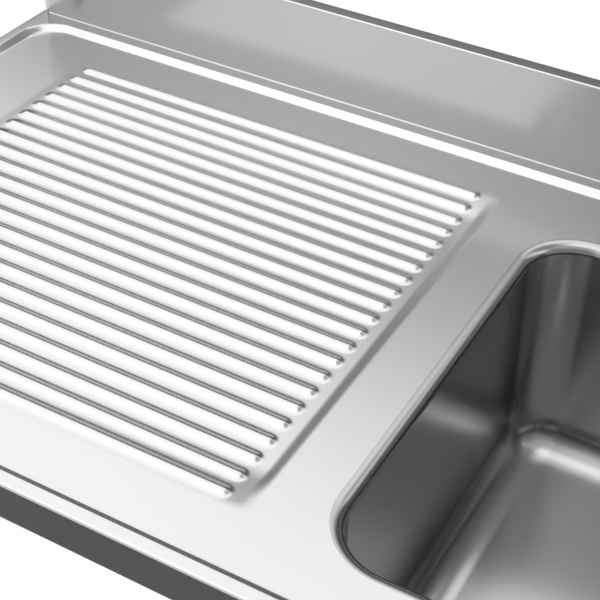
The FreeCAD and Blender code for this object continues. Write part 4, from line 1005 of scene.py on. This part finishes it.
# %% Basket, plug and knob
basket_low, basket_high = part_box("strainer_basket")
wide = (basket_high.x - basket_low.x) / 2
slim, sheet = 32.8 * MM, 1 * MM
cone = basket_high.z - 5 * MM + 0.36 * MM
cone_foot = cone - wide + slim
basket_floor = basket_low.z + sheet
slot_foot, slot_head = basket_floor + 1 * MM, cone_foot
basket = spun(((wide - sheet, basket_high.z), (wide - sheet, cone + sheet / 2),
               (slim - sheet, cone_foot + sheet / 2), (slim - sheet, slot_head),
               (slim - sheet, slot_foot), (slim - sheet, basket_floor)), 72, closed=False)
slots = []
for face in basket.faces:
    middle = face.calc_center_median() - AXIS
    step = math.degrees(math.atan2(middle.y, middle.x)) % 30
    if slot_foot < middle.z < slot_head and abs(step - 2.5) < 1:
        slots.append(face)
bmesh.ops.delete(basket, geom=slots, context="FACES")
floor_with_holes(basket, basket_floor, [(SCREW_HOLE, AXIS)])
point_outwards(basket, Vector((AXIS.x, AXIS.y, -10)))
bmesh.ops.solidify(basket, geom=basket.faces[:], thickness=sheet)
finish_piece(basket, "basket_sheet", "basket", ["strainer_basket"], POLISHED)

plug_low, plug_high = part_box("basket_plug")
plug_radius = (plug_high.x - plug_low.x) / 2
plug = spun(((SCREW_HOLE, plug_low.z), (plug_radius, plug_low.z), (plug_radius, plug_high.z),
             (SCREW_HOLE, plug_high.z)), 96, 0.7 * MM)
finish_piece(plug, "plug_disc", "basket", ["basket_plug"], RUBBER)

knob_low, knob_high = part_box("basket_knob")
stem, head = 3 * MM, (knob_high.x - knob_low.x) / 2
neck = knob_high.z - 5 * MM
knob = spun(((0, knob_low.z), (stem, knob_low.z), (stem, neck), (head, neck), (head, knob_high.z),
             (0, knob_high.z)), 48, 1.1 * MM)
finish_piece(knob, "knob", "basket", ["basket_knob"], POLISHED)

# %% [markdown]
# ## Studs and nuts
#
# Eleven studs are welded under the deck, four along each long rail and one on each cross rail.
# They reach down through the rails' webs and each has a hexagon nut.

# %% Studs and nuts
STUD_SPACING = 330 * MM
rail_middle = {}
for name in RAILS:
    low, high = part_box(name)
    rail_middle[name] = (low + high) / 2
spots = [(step * STUD_SPACING, rail_middle[name].y) for name in ("rear_rail", "front_rail")
         for step in (-1.5, -0.5, 0.5, 1.5)]
spots += [(rail_middle[name].x, 0) for name in rail_middle if name.startswith("cross")]
stud_low, stud_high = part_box("weld_studs")
nut_low, nut_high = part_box("stud_nuts")
studs, nuts = bmesh.new(), bmesh.new()
for x, y in spots:
    stud = bmesh.new()
    bmesh.ops.create_cone(stud, cap_ends=True, segments=20, radius1=2.5 * MM, radius2=2.5 * MM,
                          depth=stud_high.z - stud_low.z)
    round_off(stud, sharp_edges(stud), "EDGES", 0.4 * MM, 1)
    shift(stud, (x, y, (stud_low.z + stud_high.z) / 2))
    add_to(studs, stud)
    nut = bmesh.new()
    bmesh.ops.create_circle(nut, segments=6, radius=4 * MM / math.cos(math.radians(30)),
                            cap_ends=False, matrix=Matrix.Rotation(QUARTER, 4, "Z"))
    bmesh.ops.create_circle(nut, segments=20, radius=2.8 * MM, cap_ends=False)
    fill_level(nut, nut.edges[:])
    shift(nut, (x, y, nut_high.z))
    point_outwards(nut, Vector((x, y, 0)))
    bmesh.ops.solidify(nut, geom=nut.faces[:], thickness=nut_high.z - nut_low.z)
    round_off(nut, sharp_edges(nut), "EDGES", 0.35 * MM, 1)
    add_to(nuts, nut)
finish_piece(studs, "studs", "top", ["weld_studs"], PLATED)
finish_piece(nuts, "nuts", "top", ["stud_nuts"], PLATED)

# %% [markdown]
# ## The studio
#
# The camera stands where the photograph was taken from: in front, right of the middle of the
# object, looking down to the back left through a long lens. Its place was found from the corners
# of the sheet, which are known points in the picture and in the CAD model.

# %% Camera
camera_data = bpy.data.cameras.new("camera")
camera_data.sensor_width = 36
camera_data.lens = 81.66
camera = bpy.data.objects.new("camera", camera_data)
bpy.context.scene.collection.objects.link(camera)
forward = Vector((-0.36807, 0.69339, -0.61946))
right = Vector((0.87128, 0.48983, 0.03059))
up = right.cross(forward)
camera.matrix_world = Matrix((
    (right.x, up.x, -forward.x, 0.37218),
    (right.y, up.y, -forward.y, -0.83537),
    (right.z, up.z, -forward.z, 0.77786),
    (0, 0, 0, 1),
))
bpy.context.scene.camera = camera
bpy.context.scene.view_settings.view_transform = "Standard"
print("lens:", camera_data.lens, "mm")

# %% [markdown]
# ## Light from all round
#
# Bare metal shows what stands round it. Here that is a white tent: bright overhead and to the
# left, greyer low at the back and far to the right, with one lit panel behind the camera at the
# left. Each is a smooth step along one direction of the world, so the steel gets soft bands and
# no lamp shows in it. The eye itself sees plain white behind the object.

# %% World
world = bpy.data.worlds.new("studio")
bpy.context.scene.world = world
sky = Net(world)
direction = sky.node("TexCoord", output=0)
to_right = sky.node("SeparateXYZ", {}, {"Vector": direction})
to_back = Value(sky, to_right.socket.node.outputs[1])
to_top = Value(sky, to_right.socket.node.outputs[2])
beyond_right = to_right.sum("MAXIMUM", 0.0)
beyond_left = (-0.3 - to_right).sum("MAXIMUM", 0.0)
TENT, PANEL, OVERHEAD = 1.5, 2.0, 1.9
low_light = to_right.between(-0.55, 0.0, 0.34, 0.17) * to_top.between(0.4, 0.57, 0.55, 1.0)
tent_height = (to_top + beyond_right * 0.35 + beyond_left * 0.6).between(0.56, 0.76)
far_right = 1 - to_right.between(0.1, 0.4) * to_top.between(0.55, 0.7) * 0.75
tent = (low_light + (TENT - low_light) * tent_height) * far_right
panel = to_right.between(-0.38, 0.0, 1.0, 0.35) * to_right.between(-0.8, -0.42, 0.4, 1.0)
panel_height = to_top.between(0.56, 0.72, 1.0, PANEL)
at_back = to_back.between(-0.12, 0.12)
overhead = to_top.between(0.87, 0.97)
behind_camera = panel * panel_height * (1 - overhead) + OVERHEAD * overhead
light = tent * at_back + behind_camera * (1 - at_back)
seen = sky.node("LightPath", output=0)
strength = light * (1 - seen) + seen
background = sky.node("Background", {}, {"Color": (1, 1, 1, 1), "Strength": strength})
sky.node("OutputWorld", {}, {"Surface": background})
print("world:", world.name)

# %% [markdown]
# ## Floor and flag
#
# The floor is plain white, for the eye and for what the metal mirrors, and it still takes a
# shadow. From below it is clear, so that the underside can be looked at. A dark flag, which
# the camera doesn't see, lies low in front: it keeps the white floor out of the apron, which
# is dark in the photograph.


# %% Floor
def stage_sheet(name, size, place, look):
    """A flat square of the studio, which isn't a part of the object."""
    bm = bmesh.new()
    bmesh.ops.create_grid(bm, x_segments=1, y_segments=1, size=0.5)
    bmesh.ops.scale(bm, verts=bm.verts[:], vec=(*size, 1))
    shift(bm, place)
    mesh = bpy.data.meshes.new(name)
    bm.to_mesh(mesh)
    bm.free()
    mesh.materials.append(look)
    sheet = bpy.data.objects.new(name, mesh)
    bpy.context.scene.collection.objects.link(sheet)
    sheet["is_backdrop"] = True
    return sheet


pale = bpy.data.materials.new("pale_floor")
net = Net(pale)
diffuse = net.node("BsdfDiffuse", {}, {"Color": (0.85, 0.85, 0.85, 1)})
glow = net.node("Emission", {}, {"Color": (1, 1, 1, 1), "Strength": 1.0})
eye = net.node("LightPath", output=0)
path = eye.socket.node.outputs
mirrored = Value(net, path["Is Glossy Ray"]) + Value(net, path["Is Transmission Ray"])
from_above = net.node("MixShader", {}, {0: (eye + mirrored) * 0.98, 1: diffuse, 2: glow})
under = Value(net, net.node("NewGeometry").socket.node.outputs["Backfacing"])
clear = net.node("BsdfTransparent")
surface = net.node("MixShader", {}, {0: under, 1: from_above, 2: clear})
net.node("OutputMaterial", {}, {"Surface": surface})
floor = stage_sheet("floor", (60, 60), (0, 0, -0.9), pale)

dark = bpy.data.materials.new("dark_flag")
net = Net(dark)
cloth = net.node("BsdfDiffuse", {}, {"Color": (0.16, 0.16, 0.16, 1)})
net.node("OutputMaterial", {}, {"Surface": cloth})
flag = stage_sheet("flag", (2.6, 0.9), (0, -0.85, -0.3), dark)
flag.visible_camera = False
flag.visible_shadow = False
flag.visible_diffuse = False
print("stage:", floor.name, flag.name)

# %% The object's bounds
low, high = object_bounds()
